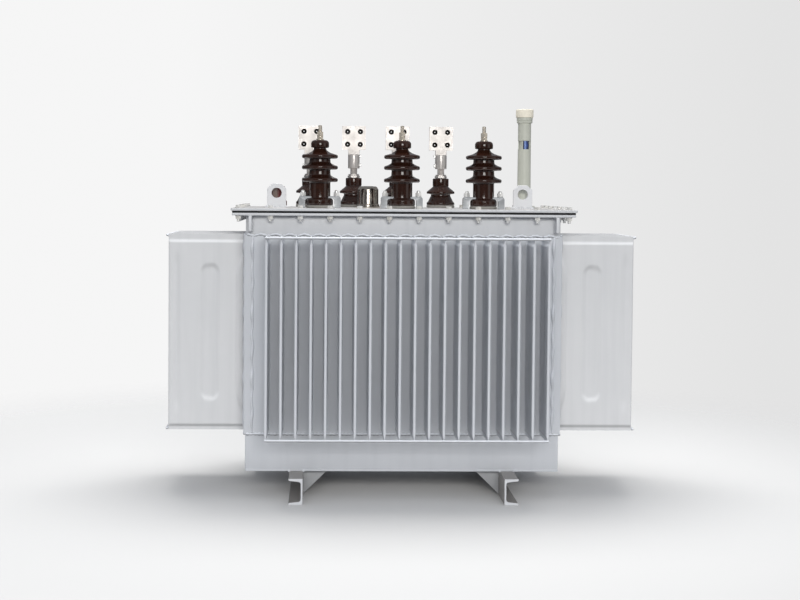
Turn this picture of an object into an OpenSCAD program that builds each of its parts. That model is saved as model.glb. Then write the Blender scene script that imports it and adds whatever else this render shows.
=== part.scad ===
// Oil-filled distribution transformer: a sealed tank with corrugated walls on two
// channel feet, a bolted cover, three high-voltage and four low-voltage bushings,
// a pressure relief valve, a tap changer, two lifting lugs and an oil level gauge.
// Millimetres, +Z up, high-voltage side towards -Y, origin under the middle of the feet.

/* [Feet] */
// Height of the foot channels
channel_h = 80; // [60:1:120]
// Width of the channels' flanges
channel_w = 43; // [35:1:60]
// Thickness of the channels' webs
channel_web = 5; // [4:0.5:10]
// Thickness of the channels' flanges
channel_flange = 8; // [5:0.5:14]
// Distance of the channels' backs from the tank's ends
channel_inset = 182; // [100:1:300]
// Length of channel standing out beyond the tank's walls at each end
channel_overhang = 120; // [60:1:130]
// Length of the gussets along the tank's floor
gusset_w = 78; // [30:1:100]
// Height left free between the gussets' points and the ground
gusset_rise = 4; // [2:1:20]
// Thickness of the gussets
gusset_t = 6; // [4:0.5:12]
// Distance of the gussets behind the tank's walls
gusset_inset = 30; // [10:1:80]

/* [Tank] */
// Width of the tank
tank_w = 980; // [900:1:1200]
// Depth of the tank from front to back
tank_d = 480; // [440:1:640]
// Thickness of the plain tank bands
band_t = 6; // [4:0.5:12]
// Thickness of the tank's floor plate
floor_t = 8; // [5:0.5:16]
// Height of the plain band that shows below the corrugated walls
lower_band_h = 109; // [60:1:200]
// Height of the corrugated walls
corrugation_h = 620; // [400:1:900]
// Height of the plain band that shows above the corrugated walls
upper_band_h = 61; // [55:1:120]
// Height over which the corrugated sheets lap the plain bands
sheet_lap = 10; // [4:1:30]
// Thickness of the corrugated walls' flat sheet
sheet_t = 4; // [2:0.5:8]

/* [Fins] */
// Distance from fin to fin
fin_pitch = 45; // [35:1:60]
// Least distance of the outermost front and back fins from the tank's corners
front_fin_margin = 60; // [30:1:150]
// Distance of the front and back rows of fins from the middle of their wall, to the right from outside
front_fin_shift = 6.5; // [-15:0.5:15]
// Least distance of the outermost side fins from the tank's corners
side_fin_margin = 80; // [30:1:120]
// Reach of the front and back fins from the tank wall
front_fin_depth = 145; // [60:1:200]
// Reach of the side fins from the tank wall
side_fin_depth = 247; // [80:1:300]
// Thickness of a fin
fin_t = 9; // [7:0.5:14]
// Thickness of the pressed and welded seam at a fin's ends
seam_t = 3; // [2:0.5:5]
// Height of the flat seam at a fin's ends
seam_h = 12; // [6:1:20]
// Height over which a fin narrows to its seam
pinch_h = 13; // [6:1:30]
// Diameter of the round bars across the fins' outer edges
rod_d = 8; // [5:0.5:14]
// Gap between the bars and the fins' outer edges
rod_seat_gap = 0.2; // [0.1:0.1:0.4]

/* [Rim and cover] */
// Reach of the tank's flange beyond the tank walls
flange_reach = 41; // [35:1:70]
// Thickness of the tank's flange
flange_t = 8; // [5:0.5:16]
// Width of the gasket under the cover
gasket_w = 40; // [20:1:48]
// Thickness of the gasket under the cover
gasket_t = 6.5; // [3:0.5:10]
// Thickness of the cover
cover_t = 8; // [5:0.5:16]
// Reach of the cover beyond the flange
cover_lip = 4; // [0.5:0.5:10]
// Thickness of the ribs under the flange at the corners
rib_t = 10; // [6:0.5:16]
// Height of the ribs under the flange
rib_h = 50; // [20:1:55]
// Distance of the ribs from the tank's corners
rib_inset = 10; // [2:1:60]

/* [High-voltage bushings] */
// Distance between neighbouring high-voltage bushings
hv_pitch = 262; // [230:1:290]
// Distance of the high-voltage row behind the tank's front wall
hv_setback = 129; // [90:1:160]
// Radius of the sheds
hv_shed_r = 57; // [50:0.5:65]
// Thickness of a shed's edge
hv_shed_edge = 8; // [4:0.5:12]
// Height of the lowest shed's edge above the porcelain's foot
hv_low_shed_z = 80; // [70:0.5:90]
// Height of the middle shed's edge above the porcelain's foot
hv_mid_shed_z = 120; // [116:0.5:123]
// Height of the top shed's edge above the porcelain's foot
hv_top_shed_z = 155; // [152:0.5:160]
// Height of a shed above its edge
hv_shed_rise = 11; // [5:0.5:16]
// Height of a shed below its edge
hv_shed_drop = 5; // [3:0.5:8]
// Radius of the body between the sheds
hv_core_r = 33; // [24:0.5:36]
// Radius of the body below the sheds
hv_body_r = 34; // [28:0.5:38]
// Radius of the foot
hv_foot_r = 42; // [40:0.5:48]
// Height of the foot
hv_foot_h = 22; // [12:0.5:30]
// Height over which the foot tapers into the body
hv_foot_taper = 11; // [4:0.5:20]
// Radius of the neck under the cap
hv_neck_r = 20.5; // [15:0.5:24]
// Height of the neck above the porcelain's foot
hv_neck_z = 182; // [180:0.5:190]
// Radius of the cap
hv_cap_r = 28.5; // [25:0.5:34]
// Height of the porcelain
hv_porcelain_h = 207; // [200:0.5:230]
// Height of the cap's rim above the neck
hv_cap_rise = 3.5; // [3:0.5:8]
// Radius of the terminal stud
hv_stud_r = 6; // [4:0.5:10]
// Length of the terminal stud above its nut
hv_stud_free = 19.5; // [10:0.5:40]
// Radius of the washer on the porcelain
hv_washer_r = 12.5; // [11:0.5:24]
// Thickness of the washer on the porcelain
hv_washer_t = 12; // [3:0.5:16]
// Width across the flats of the terminal nut
hv_nut_af = 20; // [17:0.5:30]
// Height of the terminal nut
hv_nut_h = 16; // [8:0.5:24]
// Radial gap between the foot and the clamps' legs
clamp_gap = 1; // [0.5:0.5:4]
// Width of a clamp along the row's depth
clamp_w = 24; // [12:1:36]
// Thickness of a clamp's leg
clamp_leg = 22; // [12:1:26]
// Thickness of a clamp's arm over the foot
clamp_arm = 9; // [5:0.5:14]
// Reach of a clamp's arm over the foot's taper
clamp_hold = 6; // [2:0.5:8]
// Radius of the rounded shoulder of a clamp
clamp_bend = 12; // [3:0.5:14]

/* [Low-voltage bushings] */
// Distance between neighbouring low-voltage bushings
lv_pitch = 148; // [130:1:170]
// Distance of the low-voltage row's middle left of the middle of the tank
lv_shift = 74; // [0:1:100]
// Distance of the low-voltage row before the tank's back wall
lv_setback = 61; // [50:1:90]
// Radius of the porcelain's foot and shed
lv_shed_r = 47; // [40:0.5:50]
// Height of the foot's lower edge
lv_foot_h = 8; // [4:0.5:14]
// Radius of the neck between foot and shed
lv_neck_r = 32; // [22:0.5:34]
// Height of the neck above the porcelain's foot
lv_neck_z = 32; // [26:0.5:34]
// Height of the shed's edge above the porcelain's foot
lv_shed_z = 38.5; // [38:0.5:46]
// Thickness of the shed's edge
lv_shed_edge = 6.5; // [3:0.5:8]
// Height of the shed above its edge
lv_shed_rise = 19; // [10:0.5:20]
// Radius of the porcelain above the shed
lv_top_r = 27; // [22:0.5:32]
// Height of the porcelain
lv_porcelain_h = 90; // [75:0.5:100]
// Width across the flats of the terminal nut
lv_nut_af = 36; // [30:0.5:46]
// Height of the terminal nut
lv_nut_h = 13; // [8:0.5:24]
// Radius of the terminal stud
lv_stud_r = 12; // [8:0.5:16]
// Length of stud that shows between nut and connector
lv_stud_free = 19; // [5:0.5:30]
// Radius of the clamp connector on the stud
lv_connector_r = 19; // [16:0.5:24]
// Height of the clamp connector
lv_connector_h = 48; // [30:0.5:60]
// Height of the neck between the connector and the palm
palm_neck_h = 15; // [6:0.5:30]
// Width of the neck between the connector and the palm
palm_neck_w = 36; // [20:0.5:60]
// Width and height of the square palm
palm_w = 80; // [70:0.5:100]
// Thickness of the palm
palm_t = 12; // [8:0.5:20]
// Radius of the palm's holes
palm_hole_r = 7; // [5:0.25:8]
// Distance between the palm's holes
palm_hole_pitch = 43; // [36:0.5:50]

/* [Fittings on the cover] */
// Thickness of the gaskets under the bushings
seat_t = 9; // [4:0.5:12]
// Reach of a bushing's gasket beyond its foot
seat_reach = 0.5; // [0.5:0.5:1]
// Distance of the relief valve left of the middle of the tank
relief_x = 105; // [80:1:110]
// Distance of the relief valve behind the tank's front wall
relief_setback = 235; // [220:1:260]
// Radius of the relief valve's flange
relief_flange_r = 40; // [36:0.5:50]
// Thickness of the relief valve's flange
relief_flange_t = 8; // [4:0.5:12]
// Radius of the relief valve's dome
relief_dome_r = 34.5; // [28:0.5:35]
// Height of the relief valve
relief_h = 71; // [60:0.5:80]
// Radius of the dome's rounded shoulder
relief_round = 16; // [8:0.5:24]
// Distance of the lifting lugs' middles from the tank's ends
lug_inset = 87; // [50:1:150]
// Width of a lifting lug
lug_w = 62; // [50:0.5:80]
// Height of a lifting lug
lug_h = 77; // [60:0.5:110]
// Thickness of a lifting lug
lug_t = 12; // [8:0.5:20]
// Cut at a lifting lug's top corners
lug_chamfer = 16; // [4:0.5:18]
// Radius of the eye in a lifting lug
lug_eye_r = 16.5; // [10:0.25:20]
// Height of the eye in a lifting lug
lug_eye_z = 47; // [40:0.5:54]
// Distance of the oil gauge from the tank's right end
gauge_inset = 74; // [40:1:110]
// Distance of the oil gauge and the tap changer behind the middle of the tank
rear_fittings_y = 64; // [45:1:70]
// Radius of the oil gauge's tube
gauge_r = 21.5; // [16:0.5:28]
// Height of the oil gauge's tube above the cover
gauge_tube_h = 302; // [240:0.5:340]
// Radius of the oil gauge's base flange
gauge_base_r = 36; // [32:0.5:44]
// Thickness of the oil gauge's base flange
gauge_base_t = 10; // [4:0.5:16]
// Radius of the collar below the gauge's cap
gauge_collar_r = 26; // [22:0.5:30]
// Height of the collar below the gauge's cap
gauge_collar_h = 18; // [8:0.5:30]
// Radius of the gauge's cap
gauge_cap_r = 29; // [26:0.5:34]
// Height of the gauge's cap
gauge_cap_h = 27; // [15:0.5:40]
// Cut at the edge of the gauge's cap
gauge_cap_bevel = 3; // [1:0.5:6]
// Height of the gauge's window above the cover
window_z = 197; // [150:0.5:210]
// Height of the gauge's window
window_h = 28; // [16:0.5:40]
// Width of the gauge's window
window_w = 24; // [14:0.5:28]
// Depth of the window's recess into the gauge's tube
window_depth = 7; // [4:0.5:9]
// Thickness of the window's pane
pane_t = 3; // [1.5:0.5:3.5]
// Distance of the tap changer from the tank's left end
tap_inset = 88; // [70:1:110]
// Radius of the tap changer's base
tap_base_r = 29; // [24:0.5:34]
// Height of the tap changer's base
tap_base_h = 24; // [10:0.5:30]
// Radius of the tap changer's knob
tap_knob_r = 25; // [16:0.5:28]
// Height of the tap changer's knob
tap_knob_h = 46; // [20:0.5:60]
// Radius of the rounding at the top of the tap changer's knob
tap_knob_round = 8; // [3:0.5:12]

/* [Hidden] */
$fn = 64;
// Extra length by which a cut passes through a face
cut_past = 1;
tank_grey = [0.74, 0.76, 0.78];
fin_grey = [0.80, 0.82, 0.84];
porcelain_brown = [0.16, 0.08, 0.06];
zinc = [0.72, 0.72, 0.70];
tinned = [0.82, 0.79, 0.78];
rubber_black = [0.05, 0.05, 0.05];
seat_grey = [0.55, 0.54, 0.52];
// Heights of the stacked pieces, from the ground up
tank_z = channel_h;
band_z = tank_z + floor_t;
corrugation_z = band_z + lower_band_h;
corrugation_top = corrugation_z + corrugation_h;
flange_z = corrugation_top + upper_band_h;
gasket_z = flange_z + flange_t;
cover_z = gasket_z + gasket_t;
cover_top = cover_z + cover_t;
porcelain_z = cover_top + seat_t;
// Numbers of fins that fit on the front or back wall and on a side wall
front_fins = floor((tank_w - 2 * front_fin_margin) / fin_pitch) + 1;
side_fins = floor((tank_d - 2 * side_fin_margin) / fin_pitch) + 1;
// Place of the channels' backs
channel_back = tank_w / 2 - channel_inset;
// Plan sizes of the rim
flange_w = tank_w + 2 * flange_reach;
flange_d = tank_d + 2 * flange_reach;
// Places of the rows on the cover
hv_y = hv_setback - tank_d / 2;
lv_y = tank_d / 2 - lv_setback;
hv_row = [for (i = [-1 : 1]) [i * hv_pitch, hv_y, porcelain_z]];
lv_row = [for (i = [0 : 3]) [(i - 1.5) * lv_pitch - lv_shift, lv_y, porcelain_z]];
// Levels of the low-voltage terminal above the porcelain's foot
lv_connector_z = lv_porcelain_h + lv_nut_h + lv_stud_free;
palm_z = lv_connector_z + lv_connector_h + palm_neck_h;
// Level of the pane's back face in the gauge
pane_y = gauge_r - window_depth;

// Lays a flat outline upright, its second coordinate becoming height, and gives it depth along Y
module upright(depth) {
    rotate([90, 0, 0])
        linear_extrude(height = depth, center = true)
            children();
}

// Rectangular ring of a given outer size, wall and height, standing on Z = 0
module ring(w, d, wall, h) {
    linear_extrude(height = h)
        difference() {
            square([w, d], center = true);
            square([w - 2 * wall, d - 2 * wall], center = true);
        }
}

// Hexagonal nut standing on Z = 0
module nut(across_flats, h) {
    cylinder(r = across_flats / 2 / cos(30), h = h, $fn = 6);
}

// Channel laid front to back, its open side towards +X
module channel() {
    upright(tank_d + 2 * channel_overhang)
        polygon([
            [channel_back, 0],
            [channel_back + channel_w, 0],
            [channel_back + channel_w, channel_flange],
            [channel_back + channel_web, channel_flange],
            [channel_back + channel_web, channel_h - channel_flange],
            [channel_back + channel_w, channel_h - channel_flange],
            [channel_back + channel_w, channel_h],
            [channel_back, channel_h]
        ]);
}

module base_channel_left() {
    color(tank_grey)
        mirror([1, 0, 0])
            channel();
}

module base_channel_right() {
    color(tank_grey)
        channel();
}

// Triangular plates between the tank's floor and the channels' backs
module base_gussets() {
    gusset_y = tank_d / 2 - gusset_inset;
    color(tank_grey)
        for (side = [0, 1], end = [-1, 1])
            mirror([side, 0, 0])
                translate([0, end * gusset_y, 0])
                    upright(gusset_t)
                        polygon([
                            [channel_back, tank_z],
                            [channel_back - gusset_w, tank_z],
                            [channel_back, gusset_rise]
                        ]);
}

module tank_floor() {
    color(tank_grey)
        translate([0, 0, tank_z])
            linear_extrude(height = floor_t)
                square([tank_w, tank_d], center = true);
}

module lower_band() {
    color(tank_grey)
        translate([0, 0, band_z])
            ring(tank_w, tank_d, band_t, lower_band_h + sheet_lap);
}

module upper_band() {
    color(tank_grey)
        translate([0, 0, corrugation_top - sheet_lap])
            ring(tank_w, tank_d, band_t, upper_band_h + sheet_lap);
}

// Elevation of one fin: full thickness in the middle, pinched to a seam at both ends
module fin_outline() {
    seam = seam_t / 2;
    full = fin_t / 2;
    low = seam_h + pinch_h;
    high = corrugation_h - low;
    polygon([
        [-seam, 0], [seam, 0], [seam, seam_h], [full, low], [full, high], [seam, corrugation_h - seam_h],
        [seam, corrugation_h], [-seam, corrugation_h], [-seam, corrugation_h - seam_h],
        [-full, high], [-full, low], [-seam, seam_h]
    ]);
}

// Flat sheet with a row of fins that stand out towards -Y from the tank wall at Y = 0
module corrugated_wall(width, fins, reach, shift) {
    translate([0, -sheet_t / 2, corrugation_h / 2])
        cube([width, sheet_t, corrugation_h], center = true);
    for (i = [0 : fins - 1])
        translate([shift + (i - (fins - 1) / 2) * fin_pitch, -reach / 2, 0])
            upright(reach)
                fin_outline();
}

// Two round bars across the outer edges of a row of fins, at their top and bottom ends
module fin_rods(fins, reach, shift) {
    span = (fins - 1) * fin_pitch + fin_t;
    for (z = [rod_d / 2, corrugation_h - rod_d / 2])
        translate([shift, -reach - rod_seat_gap - rod_d / 2, z])
            rotate([0, 90, 0])
                cylinder(d = rod_d, h = span, center = true);
}

// Moves what faces -Y to the front wall, and with a turn of 180 degrees to the back wall
module on_long_wall(turn) {
    rotate([0, 0, turn])
        translate([0, -tank_d / 2, corrugation_z])
            children();
}

// Moves what faces -Y to the left wall, and with a turn of 180 degrees to the right wall
module on_short_wall(turn) {
    rotate([0, 0, turn - 90])
        translate([0, -tank_w / 2, corrugation_z])
            children();
}

module long_wall(turn) {
    color(fin_grey)
        on_long_wall(turn)
            corrugated_wall(tank_w + 2 * sheet_t, front_fins, front_fin_depth, front_fin_shift);
}

module short_wall(turn) {
    color(fin_grey)
        on_short_wall(turn)
            corrugated_wall(tank_d, side_fins, side_fin_depth, 0);
}

module long_wall_rods(turn) {
    color(fin_grey)
        on_long_wall(turn)
            fin_rods(front_fins, front_fin_depth, front_fin_shift);
}

module short_wall_rods(turn) {
    color(fin_grey)
        on_short_wall(turn)
            fin_rods(side_fins, side_fin_depth, 0);
}

// Upright plates that carry the flange at the tank's four corners
module flange_ribs() {
    rib_x = tank_w / 2 - rib_inset - rib_t / 2;
    rib_y = tank_d / 2 + flange_reach / 2;
    color(tank_grey)
        for (sx = [-1, 1], sy = [-1, 1])
            translate([sx * rib_x, sy * rib_y, flange_z - rib_h / 2])
                cube([rib_t, flange_reach, rib_h], center = true);
}

module tank_flange() {
    color(tank_grey)
        translate([0, 0, flange_z])
            ring(flange_w, flange_d, flange_reach + band_t, flange_t);
}

module cover_gasket() {
    color(rubber_black)
        translate([0, 0, gasket_z])
            ring(flange_w, flange_d, gasket_w, gasket_t);
}

module cover_plate() {
    color(tank_grey)
        translate([0, 0, cover_z])
            linear_extrude(height = cover_t)
                square([flange_w + 2 * cover_lip, flange_d + 2 * cover_lip], center = true);
}

// Outline of one shed from its underside to its top, for a body of radius r
function shed(r, z) = [
    [r, z - hv_shed_edge / 2 - hv_shed_drop],
    [hv_shed_r, z - hv_shed_edge / 2],
    [hv_shed_r, z + hv_shed_edge / 2],
    [hv_core_r, z + hv_shed_edge / 2 + hv_shed_rise]
];

// Turned porcelain: foot, body, three sheds, neck and cap
module hv_porcelain(i) {
    color(porcelain_brown)
        translate(hv_row[i])
            rotate_extrude()
                polygon(concat(
                    [[0, 0], [hv_foot_r, 0], [hv_foot_r, hv_foot_h], [hv_body_r, hv_foot_h + hv_foot_taper]],
                    shed(hv_body_r, hv_low_shed_z),
                    shed(hv_core_r, hv_mid_shed_z),
                    shed(hv_core_r, hv_top_shed_z),
                    [[hv_neck_r, hv_neck_z], [hv_cap_r, hv_neck_z + hv_cap_rise],
                     [hv_cap_r, hv_porcelain_h], [0, hv_porcelain_h]]
                ));
}

// Washer, nut and threaded stud on top of the porcelain
module hv_terminal(i) {
    nut_z = hv_washer_t + hv_nut_h;
    color(zinc)
        translate(hv_row[i] + [0, 0, hv_porcelain_h]) {
            cylinder(r = hv_washer_r, h = hv_washer_t);
            translate([0, 0, hv_washer_t])
                nut(hv_nut_af, hv_nut_h);
            cylinder(r = hv_stud_r, h = nut_z + hv_stud_free);
        }
}

// Points of a quarter arc around a centre, from the +X side to the +Y side
function quarter(centre, r) = [for (a = [0 : 15 : 90]) centre + r * [cos(a), sin(a)]];

// Cast clamp on the +X side of a bushing: a leg on the cover and an arm over the foot's taper
module hv_clamp() {
    inner = hv_foot_r + clamp_gap;
    outer = inner + clamp_leg;
    arm_z = seat_t + hv_foot_h + clamp_gap;
    tip = hv_foot_r - clamp_hold;
    tip_z = arm_z + hv_foot_taper * clamp_hold / (hv_foot_r - hv_body_r);
    upright(clamp_w)
        polygon(concat(
            [[inner, 0], [outer, 0]],
            quarter([outer - clamp_bend, tip_z + clamp_arm - clamp_bend], clamp_bend),
            [[tip, tip_z + clamp_arm], [tip, tip_z], [hv_foot_r, arm_z], [inner, arm_z]]
        ));
}

module hv_clamps(i) {
    color(zinc)
        translate([hv_row[i][0], hv_row[i][1], cover_top])
            for (side = [0, 1])
                mirror([side, 0, 0])
                    hv_clamp();
}

// Turned porcelain: conical foot, neck, one shed and a plain top
module lv_porcelain(i) {
    color(porcelain_brown)
        translate(lv_row[i])
            rotate_extrude()
                polygon([
                    [0, 0],
                    [lv_shed_r, 0],
                    [lv_shed_r, lv_foot_h],
                    [lv_neck_r, lv_neck_z],
                    [lv_shed_r, lv_shed_z],
                    [lv_shed_r, lv_shed_z + lv_shed_edge],
                    [lv_top_r, lv_shed_z + lv_shed_edge + lv_shed_rise],
                    [lv_top_r, lv_porcelain_h],
                    [0, lv_porcelain_h]
                ]);
}

// Nut and stud on the porcelain, clamp connector and square palm with four holes
module lv_terminal(i) {
    hole = palm_hole_pitch / 2;
    color(tinned)
        translate(lv_row[i]) {
            translate([0, 0, lv_porcelain_h])
                nut(lv_nut_af, lv_nut_h);
            translate([0, 0, lv_porcelain_h])
                cylinder(r = lv_stud_r, h = lv_connector_z - lv_porcelain_h);
            translate([0, 0, lv_connector_z])
                cylinder(r = lv_connector_r, h = lv_connector_h);
            upright(palm_t)
                polygon([
                    [-palm_neck_w / 2, lv_connector_z + lv_connector_h],
                    [palm_neck_w / 2, lv_connector_z + lv_connector_h],
                    [palm_neck_w / 2, palm_z],
                    [-palm_neck_w / 2, palm_z]
                ]);
            difference() {
                translate([0, 0, palm_z + palm_w / 2])
                    cube([palm_w, palm_t, palm_w], center = true);
                for (sx = [-1, 1], sz = [-1, 1])
                    translate([sx * hole, 0, palm_z + palm_w / 2 + sz * hole])
                        rotate([90, 0, 0])
                            cylinder(r = palm_hole_r, h = palm_t + 2 * cut_past, center = true);
            }
        }
}

// Flat round gaskets between the cover and the seven bushings
module bushing_gaskets() {
    color(seat_grey) {
        for (p = hv_row)
            translate([p[0], p[1], cover_top])
                cylinder(r = hv_foot_r + seat_reach, h = seat_t);
        for (p = lv_row)
            translate([p[0], p[1], cover_top])
                cylinder(r = lv_shed_r + seat_reach, h = seat_t);
    }
}

// Flanged valve with a domed cap
module relief_valve() {
    color(zinc)
        translate([-relief_x, relief_setback - tank_d / 2, cover_top]) {
            cylinder(r = relief_flange_r, h = relief_flange_t);
            rotate_extrude()
                intersection() {
                    square([relief_dome_r, relief_h]);
                    union() {
                        square([relief_dome_r, relief_h - relief_round]);
                        square([relief_dome_r - relief_round, relief_h]);
                        translate([relief_dome_r - relief_round, relief_h - relief_round])
                            circle(r = relief_round);
                    }
                }
        }
}

// Round base and knob of the off-load tap changer
module tap_changer() {
    color(porcelain_brown)
        translate([tap_inset - tank_w / 2, rear_fittings_y, cover_top]) {
            cylinder(r = tap_base_r, h = tap_base_h);
            rotate_extrude()
                union() {
                    square([tap_knob_r, tap_base_h + tap_knob_h - tap_knob_round]);
                    square([tap_knob_r - tap_knob_round, tap_base_h + tap_knob_h]);
                    translate([tap_knob_r - tap_knob_round, tap_base_h + tap_knob_h - tap_knob_round])
                        intersection() {
                            circle(r = tap_knob_round);
                            square(tap_knob_round);
                        }
                }
        }
}

// Upright plate with cut top corners and a round eye
module lifting_lug(side) {
    half = lug_w / 2;
    color(tank_grey)
        translate([side * (tank_w / 2 - lug_inset), 0, cover_top])
            difference() {
                upright(lug_t)
                    polygon([
                        [-half, 0],
                        [half, 0],
                        [half, lug_h - lug_chamfer],
                        [half - lug_chamfer, lug_h],
                        [lug_chamfer - half, lug_h],
                        [-half, lug_h - lug_chamfer]
                    ]);
                translate([0, 0, lug_eye_z])
                    rotate([90, 0, 0])
                        cylinder(r = lug_eye_r, h = lug_t + 2 * cut_past, center = true);
            }
}

module lifting_lug_left() {
    lifting_lug(-1);
}

module lifting_lug_right() {
    lifting_lug(1);
}

// Puts what stands on Z = 0 at the foot of the oil gauge
module at_gauge() {
    translate([tank_w / 2 - gauge_inset, rear_fittings_y, cover_top])
        children();
}

// Flanged tube with a collar at its top and a window recess in its front
module gauge_tube() {
    color([0.66, 0.67, 0.62])
        at_gauge()
            difference() {
                union() {
                    cylinder(r = gauge_base_r, h = gauge_base_t);
                    cylinder(r = gauge_r, h = gauge_tube_h);
                    translate([0, 0, gauge_tube_h - gauge_collar_h])
                        cylinder(r = gauge_collar_r, h = gauge_collar_h);
                }
                translate([-window_w / 2, -gauge_r - cut_past, window_z])
                    cube([window_w, window_depth + cut_past, window_h]);
            }
}

// Blue pane at the back of the window recess
module gauge_window() {
    color([0.10, 0.25, 0.65])
        at_gauge()
            translate([-window_w / 2, -pane_y - pane_t, window_z])
                cube([window_w, pane_t, window_h]);
}

module gauge_cap() {
    color([0.86, 0.84, 0.76])
        at_gauge()
            translate([0, 0, gauge_tube_h])
                rotate_extrude()
                    polygon([
                        [0, 0],
                        [gauge_cap_r, 0],
                        [gauge_cap_r, gauge_cap_h - gauge_cap_bevel],
                        [gauge_cap_r - gauge_cap_bevel, gauge_cap_h],
                        [0, gauge_cap_h]
                    ]);
}

base_channel_left();
base_channel_right();
base_gussets();
tank_floor();
lower_band();
upper_band();
long_wall(0);  // corrugated_wall_front
long_wall(180);  // corrugated_wall_back
short_wall(0);  // corrugated_wall_left
short_wall(180);  // corrugated_wall_right
long_wall_rods(0);  // fin_rods_front
long_wall_rods(180);  // fin_rods_back
short_wall_rods(0);  // fin_rods_left
short_wall_rods(180);  // fin_rods_right
flange_ribs();
tank_flange();
cover_gasket();
cover_plate();
for (i = [0 : 2]) {
    hv_porcelain(i);
    hv_terminal(i);
    hv_clamps(i);
}
for (i = [0 : 3]) {
    lv_porcelain(i);
    lv_terminal(i);
}
bushing_gaskets();
relief_valve();
tap_changer();
lifting_lug_left();
lifting_lug_right();
gauge_tube();
gauge_window();
gauge_cap();
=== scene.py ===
import bmesh
import bpy
import numpy as np
from mathutils import Matrix, Vector


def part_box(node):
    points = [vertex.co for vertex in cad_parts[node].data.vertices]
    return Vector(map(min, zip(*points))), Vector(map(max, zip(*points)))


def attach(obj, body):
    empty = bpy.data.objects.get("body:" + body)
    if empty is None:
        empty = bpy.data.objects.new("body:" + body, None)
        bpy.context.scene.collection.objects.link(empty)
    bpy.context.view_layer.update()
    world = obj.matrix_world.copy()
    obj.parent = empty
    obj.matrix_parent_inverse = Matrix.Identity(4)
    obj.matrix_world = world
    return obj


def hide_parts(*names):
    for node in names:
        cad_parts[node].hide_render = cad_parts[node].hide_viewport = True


# Oil-filled distribution transformer, in metres, in the frame's own axes: +Z up, the high-voltage side
# towards -Y. The sections follow the way it is put together, from the feet up.
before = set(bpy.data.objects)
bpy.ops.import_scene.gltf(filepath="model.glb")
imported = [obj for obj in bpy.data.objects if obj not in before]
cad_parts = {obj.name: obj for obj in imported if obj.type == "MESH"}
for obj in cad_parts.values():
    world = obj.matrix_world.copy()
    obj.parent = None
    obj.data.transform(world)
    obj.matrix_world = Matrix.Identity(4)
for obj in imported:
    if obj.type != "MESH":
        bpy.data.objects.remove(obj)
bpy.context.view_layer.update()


# Foot channels
# Two hot-rolled steel channels laid front to back, open sides outwards, carry the tank. Rolling leaves
# tapered flanges with rounded toes and inner corners. They are sawn to length, welded under the tank's
# floor and sprayed with the same satin grey paint as the tank.
channel_web = 0.0055
flange_root, flange_toe = 0.0102, 0.0060
channel_radii = [0.0008, 0.0015, 0.0015, 0.0008, 0.0040, 0.0080, 0.0080, 0.0040]
sawn_bevel = 0.0006
paint_grey = np.array((0.582, 0.592, 0.615))
paint_shade = np.array((0.525, 0.538, 0.562))
paint_dust = (0.36, 0.33, 0.29)
foot_dust = (0.30, 0.27, 0.24)
# Dark brownish grey for the channels: partly dirt, partly painted shade.
foot_grime_and_shade = (0.235, 0.215, 0.200)


def corners_of(node):
    """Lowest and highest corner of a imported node, as arrays."""
    low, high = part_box(node)
    return np.array(low), np.array(high)


def rounded(corners, radii, steps=6):
    """Closed outline with every corner rounded: the arc's centre lies on the corner's bisector, at the
    radius over the sine of half the corner's angle, and the arc turns from one edge to the next."""
    corner = np.asarray(corners, float)
    radius = np.broadcast_to(np.asarray(radii, float), len(corner))[:, None]
    back = np.roll(corner, 1, 0) - corner
    ahead = np.roll(corner, -1, 0) - corner
    back /= np.linalg.norm(back, axis=1, keepdims=True)
    ahead /= np.linalg.norm(ahead, axis=1, keepdims=True)
    half = np.arccos(np.clip((back * ahead).sum(1, keepdims=True), -1, 1)) / 2
    middle = back + ahead
    middle /= np.linalg.norm(middle, axis=1, keepdims=True)
    centre = corner + middle * radius / np.sin(half)
    first = corner + back * radius / np.tan(half) - centre
    last = corner + ahead * radius / np.tan(half) - centre
    turn = np.pi - 2 * half
    share = np.linspace(0, 1, steps)
    first_part = (np.sin((1 - share) * turn) / np.sin(turn))[..., None]
    last_part = (np.sin(share * turn) / np.sin(turn))[..., None]
    arcs = centre[:, None] + first_part * first[:, None] + last_part * last[:, None]
    return arcs.reshape(-1, 2)


def inset(outline, distance):
    """Closed outline drawn inwards: each point moves square to the chord between its neighbours."""
    ahead = np.roll(outline, -1, 0)
    chord = ahead - np.roll(outline, 1, 0)
    chord /= np.linalg.norm(chord, axis=1, keepdims=True)
    turn = np.sign((outline[:, 0] * ahead[:, 1] - ahead[:, 0] * outline[:, 1]).sum())
    return outline + turn * distance * np.stack([-chord[:, 1], chord[:, 0]], -1)


def levelled(loops, levels):
    """Grid of flat loops, each set at its own level as the third coordinate."""
    level = np.broadcast_to(np.asarray(levels)[:, None, None], loops.shape[:2] + (1,))
    return np.concatenate([loops, level], -1)


def strip_bar(outline, start, end, bevel):
    """Straight bar of a strip whose outline runs along one side and back along the other: the outline is
    carried from start to end and drawn in by the bevel at both ends. Coordinates are the outline's two and
    the place along the bar."""
    drawn = inset(outline, bevel)
    return levelled(np.stack([drawn, outline, outline, drawn]), [start, start + bevel, end - bevel, end])


def surface(points, closed_rows=False, closed_columns=True):
    """Points and quads of a grid, or of a stack of grids: each quad joins a point to its neighbours along
    both parameters, and a closed parameter joins its last line to its first."""
    rows, columns = points.shape[-3:-1]
    copies = points.reshape(-1, rows * columns, 3)
    row = np.arange(rows if closed_rows else rows - 1)[:, None]
    column = np.arange(columns if closed_columns else columns - 1)[None]
    next_row = (row + 1) % rows
    next_column = (column + 1) % columns
    quads = np.stack([row * columns + column, next_row * columns + column,
                      next_row * columns + next_column, row * columns + next_column], -1).reshape(-1, 4)
    start = np.arange(len(copies))[:, None, None] * rows * columns
    return copies.reshape(-1, 3), (quads + start).reshape(-1, 4)


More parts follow.
